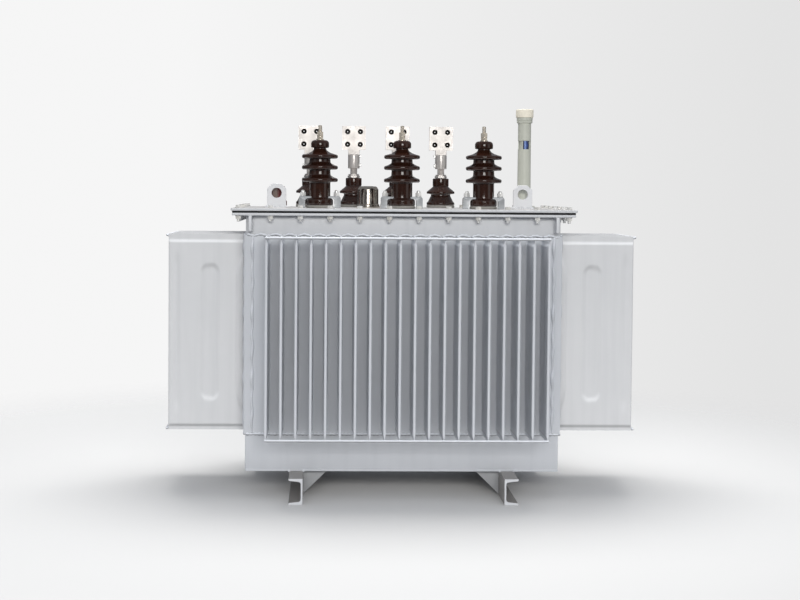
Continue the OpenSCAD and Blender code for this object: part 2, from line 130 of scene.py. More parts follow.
def capped(bar):
    """Surfaces of a bar: its sides, and quads across from one half of its outline to the other that close
    both ends."""
    half = bar.shape[1] // 2
    ends = bar[[0, -1]]
    caps = np.stack([ends[:, :half], ends[:, half:][:, ::-1]], 1)
    return [surface(bar), surface(caps, closed_columns=False)]


def piece(name, surfaces, material, replaces=(), crease=32):
    """One object from several surfaces: points that coincide are merged, so poles and seams close, faces
    are turned outwards, and edges sharper than the crease angle stay sharp."""
    starts = np.cumsum([0] + [len(points) for points, quads in surfaces[:-1]])
    points = np.concatenate([points for points, quads in surfaces])
    quads = np.concatenate([quads + start for (_, quads), start in zip(surfaces, starts)])
    mesh = bpy.data.meshes.new(name)
    mesh.from_pydata(points.tolist(), [], quads.tolist())
    shell = bmesh.new()
    shell.from_mesh(mesh)
    bmesh.ops.remove_doubles(shell, verts=shell.verts, dist=2e-6)
    bmesh.ops.recalc_face_normals(shell, faces=shell.faces)
    shell.to_mesh(mesh)
    shell.free()
    mesh.shade_smooth()
    mesh.set_sharp_from_angle(angle=np.radians(crease))
    mesh.materials.append(material)
    made = bpy.data.objects.new(name, mesh)
    bpy.context.scene.collection.objects.link(made)
    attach(made, "root")
    if replaces:
        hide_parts(*replaces)
    return made


def wire(tree, kind, inputs, **settings):
    """Adds a shader node, applies its settings, and links or sets each of the inputs named or numbered."""
    node = tree.nodes.new(kind)
    for key, value in settings.items():
        setattr(node, key, value)
    for key, value in inputs.items():
        if isinstance(value, bpy.types.NodeSocket):
            tree.links.new(value, node.inputs[key])
        else:
            node.inputs[key].default_value = value
    return node


def blend(tree, factor, first, second):
    """Colour that goes from the first to the second as the factor goes from 0 to 1."""
    return wire(tree, "ShaderNodeMix", {0: factor, 6: first, 7: second}, data_type="RGBA").outputs[2]


def ranged(tree, value, low, high, start=0.0, end=1.0, **settings):
    """Number that goes from start to end as a value goes from low to high."""
    limits = {"Value": value, "From Min": low, "From Max": high, "To Min": start, "To Max": end}
    return wire(tree, "ShaderNodeMapRange", limits, **settings).outputs[0]


def reckon(tree, operation, *numbers, **settings):
    """One step of arithmetic on numbers."""
    return wire(tree, "ShaderNodeMath", dict(enumerate(numbers)), operation=operation, **settings).outputs[0]


def noise(tree, place, scale, detail, roughness=0.5):
    """Noise over a place, a number between 0 and 1."""
    given = {"Vector": place, "Scale": scale, "Detail": detail, "Roughness": roughness}
    return wire(tree, "ShaderNodeTexNoise", given).outputs[0]


def own_place(tree):
    """The piece's own coordinates."""
    return wire(tree, "ShaderNodeTexCoord", {}).outputs["Object"]


def node_group(name, colours, numbers, results):
    """Empty shader node group with colour inputs, number inputs, and results of which the first is a
    colour: its tree, what comes in and where the results go out."""
    tree = bpy.data.node_groups.new(name, "ShaderNodeTree")
    for label in colours + numbers:
        kind = "NodeSocketColor" if label in colours else "NodeSocketFloat"
        tree.interface.new_socket(label, in_out="INPUT", socket_type=kind)
    for label in results:
        kind = "NodeSocketColor" if label == results[0] else "NodeSocketFloat"
        tree.interface.new_socket(label, in_out="OUTPUT", socket_type=kind)
    return tree, tree.nodes.new("NodeGroupInput").outputs, tree.nodes.new("NodeGroupOutput").inputs


def surface_grain():
    """Group for clouded finishes: patches of a second colour over the first, roughness that follows the
    patches, and a fine height for bump, all from noise in the piece's own coordinates."""
    tree, given, leave = node_group("surface_grain", ("Color", "Second"),
                                    ("Share", "Scale", "Roughness", "Spread", "Fineness"),
                                    ("Color", "Roughness", "Height"))
    place = own_place(tree)
    patch = ranged(tree, noise(tree, place, given["Scale"], 4.0, 0.6), 0.38, 0.66, 0.0, given["Share"])
    results = {"Color": blend(tree, patch, given["Color"], given["Second"]),
               "Roughness": reckon(tree, "MULTIPLY_ADD", patch, given["Spread"], given["Roughness"]),
               "Height": noise(tree, place, given["Fineness"], 3.0, 0.55)}
    for label, value in results.items():
        tree.links.new(value, leave[label])
    return tree


def runs_dust_and_tilt_shade():
    """Group for sprayed paint, as changes to a colour: faint upright runs from noise stretched along Z,
    painted light and shade on tilted faces, paler where they tilt up and darker where they tilt down as if
    lit from above, and settled dust on level tops."""
    tree, given, leave = node_group("runs_dust_and_tilt_shade", ("Color", "Run", "Dust"), ("Settled", "Tilt Shading"), ("Color",))
    place = own_place(tree)
    drawn = wire(tree, "ShaderNodeMapping", {"Vector": place, "Scale": (38.0, 38.0, 2.2)}).outputs[0]
    share = ranged(tree, noise(tree, drawn, 1.0, 3.0), 0.42, 0.72, 0.0, 0.55)
    streaked = blend(tree, share, given["Color"], given["Run"])
    facing = wire(tree, "ShaderNodeNewGeometry", {}).outputs["Normal"]
    up = wire(tree, "ShaderNodeSeparateXYZ", {0: facing}).outputs["Z"]
    # Painted light and shade: the colour is scaled up where the surface tilts up and down where it tilts
    # down, by the share given to the group's tilt input.
    tilt_light = reckon(tree, "MULTIPLY_ADD", ranged(tree, up, -0.6, 0.6, -0.5, 0.5), given["Tilt Shading"], 1.0)
    folded = wire(tree, "ShaderNodeVectorMath", {0: streaked, "Scale": tilt_light}, operation="SCALE").outputs[0]
    lying = ranged(tree, up, 0.6, 1.0, 0.0, given["Settled"])
    dusty = reckon(tree, "MULTIPLY", lying, noise(tree, place, 21.0, 6.0))
    tree.links.new(blend(tree, dusty, folded, given["Dust"]), leave["Color"])
    return tree


grain = surface_grain()
paint_runs_and_shade_group = runs_dust_and_tilt_shade()


def finish(name, colour, second, share, scale, roughness, spread, fineness, bump, **shader):
    """Material of one finish: the grain group gives colour, roughness and bump height, and the numbers
    that are the same all over go straight onto the shader."""
    material = bpy.data.materials.new(name)
    material.use_nodes = True
    tree = material.node_tree
    sockets = tree.nodes["Principled BSDF"].inputs
    clouds = wire(tree, "ShaderNodeGroup",
                  {"Color": (*colour, 1.0), "Second": (*second, 1.0), "Share": share, "Scale": scale,
                   "Roughness": roughness, "Spread": spread, "Fineness": fineness}, node_tree=grain).outputs
    relief = wire(tree, "ShaderNodeBump", {"Height": clouds["Height"], "Strength": 0.5, "Distance": bump})
    tree.links.new(clouds["Color"], sockets["Base Color"])
    tree.links.new(clouds["Roughness"], sockets["Roughness"])
    tree.links.new(relief.outputs["Normal"], sockets["Normal"])
    for key, value in shader.items():
        sockets[key.replace("_", " ")].default_value = value
    return material


def painted(name, light_tone, dust, settled, tilt_shading=0.0, cast=0.0):
    """Satin grey tank paint: the clouded finish, its greys scaled by the tone, a painted brightness for how
    much light the part gets, and moved by the cast towards blue for painted bluish shade, or towards warm
    where the cast is below zero for painted warm light; spray runs, painted tilt shading and settled dust
    are laid over its colour."""
    tint = light_tone * (1 + cast * np.array((-0.6, 0.0, 1.0)))
    material = finish(name, tint * paint_grey, tint * paint_shade, 0.35, 5.0, 0.40, 0.16, 420.0, 0.00012,
                      Specular_IOR_Level=0.45, Coat_Weight=0.15, Coat_Roughness=0.22)
    tree = material.node_tree
    shade = tree.nodes["Principled BSDF"].inputs["Base Color"]
    over = wire(tree, "ShaderNodeGroup",
                {"Color": shade.links[0].from_socket, "Run": (*(tint * paint_shade), 1.0),
                 "Dust": (*dust, 1.0), "Settled": settled, "Tilt Shading": tilt_shading}, node_tree=paint_runs_and_shade_group)
    tree.links.new(over.outputs["Color"], shade)
    return material


def overlay(material, share, colour):
    """Lays a second colour over a material's own, by a share that changes over the surface."""
    tree = material.node_tree
    shade = tree.nodes["Principled BSDF"].inputs["Base Color"]
    tree.links.new(blend(tree, share, shade.links[0].from_socket, (*colour, 1.0)), shade)


def grimed_and_shaded(material, grime_and_shade):
    """Lays a dark brownish grey over a painted material on every face that is not square to the Y axis:
    partly the dirt the open channels gather, partly painted shade for their shadowed insides. Only the
    sawn ends keep the paint's own colour."""
    tree = material.node_tree
    facing = wire(tree, "ShaderNodeNewGeometry", {}).outputs["True Normal"]
    endways = wire(tree, "ShaderNodeSeparateXYZ", {0: facing}).outputs["Y"]
    overlay(material, ranged(tree, reckon(tree, "ABSOLUTE", endways), 0.2, 0.7, 0.85, 0.0), grime_and_shade)
    return material


# The tank paint comes in copies of different tone and cast: each tone is painted light and shade for where
# the part sits, and a blue cast is painted bluish shade.
tank_paint = painted("tank_paint", 0.905, paint_dust, 0.35, 0.4, 0.024)
# The feet's paint is darkened on all but the sawn ends: partly dirt, partly painted shade inside the
# channels.
foot_paint = grimed_and_shaded(painted("foot_paint", 1.0, foot_dust, 0.35), foot_grime_and_shade)
for side, mirror in (("left", -1), ("right", 1)):
    low, high = corners_of(f"base_channel_{side}")
    width, _, height = high - low
    back = low[0] if mirror > 0 else -high[0]
    outline = rounded([(width, 0), (0, 0), (0, height), (width, height), (width, height - flange_toe),
                       (channel_web, height - flange_root), (channel_web, flange_root),
                       (width, flange_toe)], channel_radii)
    bar = strip_bar(outline, low[1], high[1], sawn_bevel)[..., [0, 2, 1]]
    piece(f"foot_channel_{side}", capped((bar + (back, 0, low[2])) * (mirror, 1, 1)),
          foot_paint, [f"base_channel_{side}"])


# Gussets
# Flame-cut triangular plates stiffen the channels' backs against the tank's floor, one near each wall.
# They are steel, welded along two edges and painted with the rest, but in a much darker copy of the paint
# that is painted shade under the tank.
gusset_length, gusset_thickness, gusset_point = 0.078, 0.006, 0.004
gusset_rounding, cut_bevel = 0.0012, 0.0007
gusset_weld, gusset_weld_in = 0.0030, 0.004
four_corners = [(-1, -1), (-1, 1), (1, -1), (1, 1)]


def plate(outline, low, high, bevel):
    """Flat plate cut to a closed outline: the outline stands between two levels, is drawn in by the bevel
    at both faces, and each face closes on the outline's mean point."""
    drawn = inset(outline, bevel)
    middle = np.broadcast_to(outline.mean(0), outline.shape)
    loops = np.stack([middle, drawn, outline, outline, drawn, middle])
    return levelled(loops, [low, low, low + bevel, high - bevel, high, high])


def tube(path, radius, sides=10):
    """Round section carried along a path: at each point a circle of that point's radius stands square to
    the path, on two directions crossed from the tangent and a fixed slanting one."""
    path = np.asarray(path, float)
    along = np.gradient(path, axis=0)
    along /= np.linalg.norm(along, axis=1, keepdims=True)
    across = np.cross(along, (0.48, 0.36, 0.80))
    across /= np.linalg.norm(across, axis=1, keepdims=True)
    other = np.cross(along, across)
    angle = np.linspace(0, 2 * np.pi, sides, endpoint=False)[None, :, None]
    spread = np.broadcast_to(np.asarray(radius, float), len(path))[:, None, None]
    return path[:, None] + spread * (np.cos(angle) * across[:, None] + np.sin(angle) * other[:, None])


def quarter_turn(points, turns):
    """Points turned about the Z axis by that many quarter turns, anticlockwise."""
    cosine, sine = [(1, 0), (0, 1), (-1, 0), (0, -1)][turns % 4]
    x, y = points[..., 0], points[..., 1]
    return np.stack([cosine * x - sine * y, sine * x + cosine * y, points[..., 2]], -1)


def weld(start, end, size, turns=0, ripple=0.0075, step=0.0030, dip=None, rippled=1.0):
    """Weld bead from start to end, then turned by quarter turns: a tube whose radius swells with the
    ripples of the pass, the sum of two waves of unlike length, and closes to a point at both ends. The
    less it is rippled, the more it swells and wanders in long waves; dip moves it up and down its run."""
    start, end = np.asarray(start, float), np.asarray(end, float)
    length = np.linalg.norm(end - start)
    run = np.linspace(0, length, max(int(length / step), 8))
    phase = 40 * start.sum()
    wave = 0.20 * np.sin(2 * np.pi * run / ripple + phase) + 0.16 * np.sin(run / ripple * 1.73 + 2 * phase)
    wave = rippled * wave - 0.3 * (1 - rippled) * np.sin(run * 61.0 + 3 * phase)
    ends = np.sqrt(np.clip(np.minimum(run, length - run) / size, 0, 1))
    path = start + (end - start) * (run / length)[:, None]
    path[:, :2] -= (0.0012 * (1 - rippled) * np.sin(run * 93.0 + phase))[:, None]
    if dip is not None:
        path[:, 2] += dip(run)
    return surface(quarter_turn(tube(path, size * (1 + wave) * ends, 8), turns))


low, high = corners_of("base_gussets")
gusset_row = high[1] - gusset_thickness / 2
gusset_outline = rounded([(high[0], high[2]), (high[0] - gusset_length, high[2]),
                          (high[0], gusset_point)], gusset_rounding, 4)
gusset_faces, foot_welds = [], []
for side, end in four_corners:
    row = end * gusset_row
    flat = plate(gusset_outline, row - gusset_thickness / 2, row + gusset_thickness / 2, cut_bevel)
    gusset_faces.append(surface(flat[..., [0, 2, 1]] * (side, 1, 1)))
    seam = row - end * gusset_weld_in
    meet = (side * high[0], seam, high[2])
    foot_welds.append(weld((side * high[0], seam, 2 * gusset_point), meet, gusset_weld))
    foot_welds.append(weld((side * (high[0] - gusset_length), seam, high[2]), meet, gusset_weld))
# A much darker copy of the paint: painted shade on the gussets under the tank.
gusset_shaded_paint = painted("gusset_shaded_paint", 0.56, foot_dust, 0.35)
piece("foot_gussets", gusset_faces, gusset_shaded_paint, ["base_gussets"])


# Tank floor and plain bands
# Floor plate and the plain steel bands below and above the corrugated walls, folded and welded into a
# box and painted. Short welds join the channels' toes and backs to the floor's edge.
fold_radius, edge_bevel = 0.005, 0.0009
band_wall = 0.006
toe_weld, toe_weld_rise = 0.0042, 0.001
toe_weld_out, toe_weld_in = 0.006, 0.045


def rectangle(half_x, half_y):
    """Corners of a rectangle about the Z axis, anticlockwise."""
    return [(half_x, half_y), (-half_x, half_y), (-half_x, -half_y), (half_x, -half_y)]


def ring(half_x, half_y, corner, section):
    """Closed rectangular ring: each section point, a distance in from the outer edge and a height, draws a
    rounded rectangle, and neighbouring rectangles are joined all round."""
    loops = np.stack([rounded(rectangle(half_x - inwards, half_y - inwards), max(corner - inwards, 0.0004))
                      for inwards, _ in section])
    return surface(levelled(loops, section[:, 1]), closed_rows=True)


def flat_section(wall, low, high, bevel):
    """Section of a flat ring: a rectangle of the wall's width between two heights, its corners rounded."""
    return rounded([(0, low), (wall, low), (wall, high), (0, high)], bevel, 4)


floor_low, floor_high = corners_of("tank_floor")
tank_x, tank_y = floor_high[:2]
floor_outline = rounded(rectangle(tank_x, tank_y), fold_radius)
piece("tank_floor_plate", [surface(plate(floor_outline, floor_low[2], floor_high[2], edge_bevel))],
      tank_paint, ["tank_floor"])
# A lighter copy of the tank paint for the upper band, flange and ribs: painted light under the cover.
rim_paint = painted("rim_paint", 0.99, paint_dust, 0.35, 0.4)
for name, paint in (("lower_band", tank_paint), ("upper_band", rim_paint)):
    low, high = corners_of(name)
    section = flat_section(band_wall, low[2], high[2], edge_bevel / 2)
    piece(f"tank_{name}", [ring(tank_x, tank_y, fold_radius, section)], paint, [name])
heel, toe = corners_of("base_channel_right")
weld_level = floor_low[2] + toe_weld_rise
for side, end in four_corners:
    for x in (side * toe[0], side * heel[0]):
        foot_welds.append(weld((x, end * (tank_y + toe_weld_out), weld_level),
                               (x, end * (tank_y - toe_weld_in), weld_level), toe_weld))
piece("foot_welds", foot_welds, tank_paint)


# Corrugated walls
# Each wall is one thin steel sheet folded into deep hollow fins that cool the oil. The folds are pressed
# flat and seam-welded at top and bottom, and the fin faces carry pressed beads that keep them apart.
sheet = 0.004
fin_pitch, fin_full, fin_seam = 0.045, 0.009, 0.003
seam_foot, seam_top, pinch_height = 0.0085, 0.0165, 0.011
root_radius, root_swell, root_out = 0.004, 0.0034, 0.036
bead_depth, bead_end, bead_edge = 0.0027, 0.122, 0.014
bead_line, bead_half = 0.47, 0.076
groove_depth, groove_in, groove_half = 0.0018, 0.026, 0.007
pale_dust = (0.40, 0.38, 0.35)
wall_names = ("front", "right", "back", "left")
wall_low, wall_high = corners_of("corrugated_wall_front")
wall_foot, wall_top = wall_low[2], wall_high[2]
wall_height = wall_top - wall_foot


def smooth(x):
    """Smooth step: 0 below 0, 1 above 1, and three squares less two cubes between."""
    x = np.clip(x, 0, 1)
    return x * x * (3 - 2 * x)


def stations(*stretches):
    """Places along a length, in stretches that each go evenly from a first place to a last."""
    return np.concatenate([np.linspace(first, last, count) for first, last, count in stretches])


def fin_row(fins, shift):
    """Places of a wall's fins along it, about its middle moved by the shift."""
    return (np.arange(fins) - (fins - 1) / 2) * fin_pitch + shift


def pressed_face(out, z, reach):
    """How far a fin's face stands out from its plain thickness, over distance from the wall and height:
    a swelling at the root that starts below the seam, less a round-ended bead pressed in up the middle
    and a shallow groove beside the nose."""
    inside = np.minimum(z, wall_height - z)
    root_reach = root_out * np.sqrt(smooth((inside - 0.030) / 0.110))
    root = root_swell * smooth((root_reach - out) / 0.009)
    from_line = np.hypot(out - bead_line * reach, np.maximum(bead_end - inside, 0))
    bead = bead_depth * (1 - smooth((from_line - bead_half * reach) / bead_edge))
    beside = np.exp(-((reach - out - groove_in) / groove_half) ** 2)
    return root - bead - groove_depth * beside * smooth((inside - 0.05) / 0.05)


def corrugated_sheet(width, fins, shift, reach, wall, levels, face):
    """Folded wall facing -Y: along the wall each fold runs over a flat valley, round the root, out along
    the face, half round the nose and back; the fold's half thickness narrows to the seam at both ends.
    The first and last rows lie on the tank wall, so the sheet closes at its ends and its back."""
    z = np.unique(np.concatenate([levels, wall_height - levels]).round(5))[:, None]
    parted = smooth(np.minimum(z - seam_foot, wall_height - z - seam_top) / pinch_height)
    half = (fin_seam + (fin_full - fin_seam) * parted) / 2
    flat = np.linspace(0, 1, 3)[None]
    bend = np.linspace(0, np.pi / 2, 4)[None, 1:]
    face = np.unique(face.round(4))[None, 1:]
    nose = np.linspace(0, np.pi / 2, 5)[None, 1:]
    face_out = sheet + root_radius + (reach - half - sheet - root_radius) * face
    along = np.concatenate([
        -fin_pitch / 2 + (fin_pitch / 2 - half - root_radius) * flat,
        -half - root_radius + root_radius * np.sin(bend),
        -half - pressed_face(face_out, z, reach) * parted,
        -half * np.cos(nose)], 1)
    out = np.concatenate([
        sheet + 0 * z * flat,
        sheet + root_radius * (1 - np.cos(bend)) + 0 * z,
        face_out,
        reach - half + half * np.sin(nose)], 1)
    along = np.concatenate([along, -along[:, -2::-1]], 1)
    out = np.concatenate([out, out[:, -2::-1]], 1)
    along = (along[:, None] + fin_row(fins, shift)[None, :, None]).reshape(len(z), -1)
    out = np.tile(out, (1, fins))
    edge = np.full_like(z, width / 2)
    along = np.concatenate([-edge, -edge, along, edge, edge], 1)
    out = np.concatenate([0 * z, sheet + 0 * z, out, sheet + 0 * z, 0 * z], 1)
    grid = np.stack([along, -wall - out, wall_foot + z + 0 * along], -1)
    behind = grid[[0, -1]] * (1, 0, 1) - (0, wall, 0)
    return np.concatenate([behind[:1], grid, behind[1:]])


long_reach = -wall_low[1] - tank_y
short_reach = -corners_of("corrugated_wall_left")[0][0] - tank_x
rods_low, rods_high = corners_of("fin_rods_front")
long_shift = (rods_low[0] + rods_high[0]) / 2
long_fins = round((rods_high[0] - rods_low[0] - fin_full) / fin_pitch) + 1
rods_low, rods_high = corners_of("fin_rods_left")
short_fins = round((rods_high[1] - rods_low[1] - fin_full) / fin_pitch) + 1
seam_levels = (0, 0.032, 14)
long_levels = stations(seam_levels, (0.036, 0.150, 12), (0.18, wall_height / 2, 4))
short_levels = stations(seam_levels, (0.036, 0.128, 20), (0.135, wall_height / 2, 9))
long_face = stations((0, 1, 6), (0.16, 0.25, 4), (0.30, 0.39, 4), (0.55, 0.64, 4), (0.77, 0.87, 4))
short_face = stations((0, 1, 10), (0.02, 0.20, 10), (0.31, 0.41, 8), (0.53, 0.62, 8), (0.82, 0.96, 8))
long_wall = corrugated_sheet(wall_high[0] - wall_low[0], long_fins, long_shift, long_reach, tank_y,
                             long_levels, long_face)
short_wall = corrugated_sheet(2 * tank_y, short_fins, 0.0, short_reach, tank_x, short_levels, short_face)
# The front and back sheets take a darker, bluer copy than the side panels, painted bluish shade, and the
# side panels a lighter, warmer copy, painted light; both carry strong painted tilt shading.
fin_paint = painted("fin_paint", 0.965, paint_dust, 0.20, 1.0, 0.024)
panel_paint = painted("panel_paint", 1.045, pale_dust, 0.20, 1.35, -0.014)
for turns, name in enumerate(wall_names):
    wall, paint = (short_wall, panel_paint) if turns % 2 else (long_wall, fin_paint)
    folded = surface(quarter_turn(wall, turns), closed_rows=True, closed_columns=False)
    piece(f"corrugated_sheet_{name}", [folded], paint, [f"corrugated_wall_{name}"], crease=48)


# Corner angles and wall welds
# A folded steel angle covers each upright joint between two walls. Hand-laid weld beads run up both its
# edges and along the sheets' top and bottom edges, dipping at each fin along the top of the long walls.
angle_leg, angle_sheet, angle_lap = 0.024, 0.0012, 0.001
angle_radii = [0.0008, 0.0060, 0.0008, 0.0008, 0.0015, 0.0008]
upright_weld, upright_out = 0.0044, 0.0005
level_weld, level_sunk = 0.0042, 0.0012
top_scallop = 0.0022
corner = np.array((tank_x + sheet, tank_y + sheet))
angle_outline = corner + rounded([(angle_sheet, -angle_leg), (angle_sheet, angle_sheet),
                                  (-angle_leg, angle_sheet), (-angle_leg, -angle_lap),
                                  (-angle_lap, -angle_lap), (-angle_lap, -angle_leg)], angle_radii, 5)
angle_bar = strip_bar(angle_outline, wall_foot, wall_top, 0.0008)
angles, wall_beads = [], []
for side, end in four_corners:
    angles += capped(angle_bar * (side, end, 1))
    for leg in ((-angle_leg - angle_lap, upright_out), (upright_out, -angle_leg - angle_lap)):
        foot = np.append((corner + leg) * (side, end), wall_foot)
        wall_beads.append(weld(foot, foot + (0, 0, wall_height), upright_weld, ripple=0.0085, rippled=0.12))
piece("corner_angles", angles, tank_paint)


def scallop(run):
    """Rise of the top bead along its run: a cosine that dips at each fin of the long walls, and goes on
    round the short walls out of step with their fins."""
    return top_scallop * np.cos(2 * np.pi * (run - tank_x - long_shift) / fin_pitch)


wall_sides = [(tank_x, tank_y), (tank_y, tank_x)] * 2
for turns, (half, wall) in enumerate(wall_sides):
    row = level_sunk - wall - sheet
    for z, dip in ((wall_foot, None), (wall_top, scallop)):
        wall_beads.append(weld((-half, row, z), (half, row, z), level_weld, turns, ripple=0.0123, dip=dip))
piece("wall_welds", wall_beads, fin_paint, crease=60)


# Fin bars
# Round steel bars cross the outer edges of each row of fins at top and bottom and hold them in line.
# They are sawn with rounded ends and tacked to every fin with a small weld.
bar_end = np.array((0, 0.0004, 0.0014, 0.003))
tack_weld, tack_in, tack_drop = 0.0034, 0.002, 0.0030
for turns, name in enumerate(wall_names):
    low, high = corners_of(f"fin_rods_{name}")
    short = turns % 2
    span, thick = (high - low)[[short, 1 - short]]
    reach = max(abs(low[1 - short]), abs(high[1 - short])) - thick / 2
    fins, shift = (short_fins, 0.0) if short else (long_fins, long_shift)
    run = np.concatenate([bar_end, np.linspace(0.006, span - 0.006, 40), span - bar_end[::-1]]) - span / 2
    size = thick / 2 * np.sqrt(np.clip((span / 2 - np.abs(run)) / bar_end[-1], 0, 1))
    bars = []
    for end, z in ((-1, low[2] + thick / 2), (1, high[2] - thick / 2)):
        path = np.stack([run + shift, np.full_like(run, -reach), np.full_like(run, z)], -1)
        bars.append(surface(quarter_turn(tube(path, size, 14), turns)))
        for place in fin_row(fins, shift):
            bars.append(weld((place, thick / 2 - reach + tack_in, z), (place, -reach, z - end * tack_drop),
                             tack_weld, turns, step=0.0009))
    piece(f"fin_bars_{name}", bars, fin_paint, [f"fin_rods_{name}"], crease=60)


# Flange and its ribs
# A flat steel frame welded round the tank's mouth carries the cover. Upright plates at the four corners
# brace it against the wall, with a weld bead down both sides of each plate.
rib_thickness, rib_inset = 0.010, 0.010
rim_bevel, flange_corner = 0.0012, 0.004
rim_weld, rib_top_weld, rim_weld_out = 0.0030, 0.0024, 0.001
flange_low, flange_high = corners_of("tank_flange")
rib_low, rib_high = corners_of("flange_ribs")
flange_section = flat_section(flange_high[0] - tank_x + band_wall, flange_low[2], flange_high[2], rim_bevel)
piece("rim_flange", [ring(flange_high[0], flange_high[1], flange_corner, flange_section)],
      rim_paint, ["tank_flange"])
rib_outline = rounded([(tank_y, rib_low[2]), (rib_high[1], rib_low[2]), (rib_high[1], rib_high[2]),
                       (tank_y, rib_high[2])], [0.0010, 0.0040, 0.0010, 0.0010], 4)
ribs, rim_beads = [], []
for side, end in four_corners:
    x = side * (tank_x - rib_inset - rib_thickness / 2)
    flat = plate(rib_outline, x - rib_thickness / 2, x + rib_thickness / 2, rim_bevel)
    ribs.append(surface(flat[..., [2, 0, 1]] * (1, end, 1)))
    row = end * (tank_y + rim_weld_out)
    for edge in (x - rib_thickness / 2, x + rib_thickness / 2):
        rim_beads.append(weld((edge, row, rib_low[2] - 0.002), (edge, row, rib_high[2]), rim_weld,
                              ripple=0.009))
        rim_beads.append(weld((edge, end * (tank_y + 2 * rim_weld_out), rib_high[2]),
                              (edge, end * rib_high[1], rib_high[2]), rib_top_weld))
piece("rim_ribs", ribs, rim_paint, ["flange_ribs"])
for turns, (half, wall) in enumerate(wall_sides):
    row = -wall - rim_weld_out
    rim_beads.append(weld((-half, row, flange_low[2]), (half, row, flange_low[2]), rim_weld, turns))
piece("rim_welds", rim_beads, rim_paint, crease=60)


# Cover gasket and cover
# A black nitrile cord gasket lies squeezed between the flange and the cover, so its outer face bulges.
# The cover is a plain steel plate with broken edges, painted like the tank.
gasket_width, gasket_bulge, gasket_in = 0.040, 0.0018, 0.0016
cover_corner, cover_bevel = 0.005, 0.0016
gasket_low, gasket_high = corners_of("cover_gasket")
cover_low, cover_high = corners_of("cover_plate")
squeeze = np.linspace(-1, 1, 7)
bulge = gasket_bulge * (1 - squeeze ** 2)
gasket_z = (gasket_low[2] + gasket_high[2]) / 2 + squeeze * (gasket_high[2] - gasket_low[2]) / 2
gasket_section = np.concatenate([np.stack([gasket_in - bulge, gasket_z], -1),
                                 np.stack([gasket_width + 0 * bulge, gasket_z[::-1]], -1)])
gasket_rubber = finish("gasket_rubber", (0.012, 0.012, 0.013), (0.030, 0.029, 0.028), 0.6, 60.0,
                       0.62, 0.2, 900.0, 0.0002, Specular_IOR_Level=0.3)
piece("cover_gasket_frame", [ring(gasket_high[0], gasket_high[1], cover_corner, gasket_section)],
      gasket_rubber, ["cover_gasket"])
cover_outline = rounded(rectangle(cover_high[0], cover_high[1]), cover_corner)
# The cover takes its own tone of the tank paint, a little darker than the base grey: painted shade.
cover_paint = painted("cover_paint", 0.94, (0.33, 0.28, 0.23), 0.60)
piece("cover_sheet", [surface(plate(cover_outline, cover_low[2], cover_high[2], cover_bevel))],
      cover_paint, ["cover_plate"])


# Cover bolts
# Zinc-plated hexagon bolts with plain washers clamp the cover all round. The nuts sit under the flange
# with a chamfered thread end showing, and some of the plating has a yellow passivated tint.
bolt_flats, bolt_head, bolt_nut = 0.016, 0.0072, 0.0088
bolt_thread, bolt_pitch, bolt_end = 0.0050, 0.0015, 0.0085
washer_radius, washer_thick = 0.0100, 0.0022
bolt_x, bolt_y = 0.5120, 0.2640
long_row, long_bolts, side_bolts = 0.4130, 10, 7


def lathe(profile, columns=40):
    """Turned shape about the Z axis: each profile point, a radius and a height, goes round a circle."""
    profile = np.asarray(profile, float)
    angle = np.linspace(0, 2 * np.pi, columns, endpoint=False)[None]
    radius = profile[:, :1]
    return np.stack([radius * np.cos(angle), radius * np.sin(angle), profile[:, 1:] + 0 * angle], -1)


def hexagon(flats, low, high, domed=True, columns=36):
    """Six-sided nut or head: the radius at each angle is half the flats' width over the cosine of the
    angle from the nearest flat's middle, and a cone takes off the corners at the ends."""
    angle = np.linspace(0, 2 * np.pi, columns, endpoint=False)
    edge = flats / 2 / np.cos((angle + np.pi / 6) % (np.pi / 3) - np.pi / 6)
    inner = np.full_like(edge, 0.96 * flats / 2)
    drop = 0.58 * np.clip(edge - inner, 0, None)
    none = 0 * edge
    radius = np.stack([none, inner if domed else edge, edge, edge, inner, none])
    height = np.stack([none + low, none + low, low + (drop if domed else none), high - drop,
                       none + high, none + high])
    return np.stack([radius * np.cos(angle), radius * np.sin(angle), height], -1)


def washer(radius, low, high, bevel=0.0004, columns=28):
    """Flat round washer between two heights with softened rims."""
    return lathe([(0, low), (radius - bevel, low), (radius, low + bevel), (radius, high - bevel),
                  (radius - bevel, high), (0, high)], columns)


def thread(radius, low, high, pitch, columns=20):
    """Threaded stud: the radius rises and falls once in every pitch, and a cone ends it at the top."""
    turns = max(int((high - low) / pitch), 2)
    height = np.linspace(low, high - radius * 0.25, 2 * turns + 1)
    ridge = radius * (1 - 0.06 * (np.arange(2 * turns + 1) % 2))
    rows = np.stack([ridge, height], -1)
    return lathe(np.concatenate([[(0, low)], rows, [(0.72 * radius, high), (0, high)]]), columns)


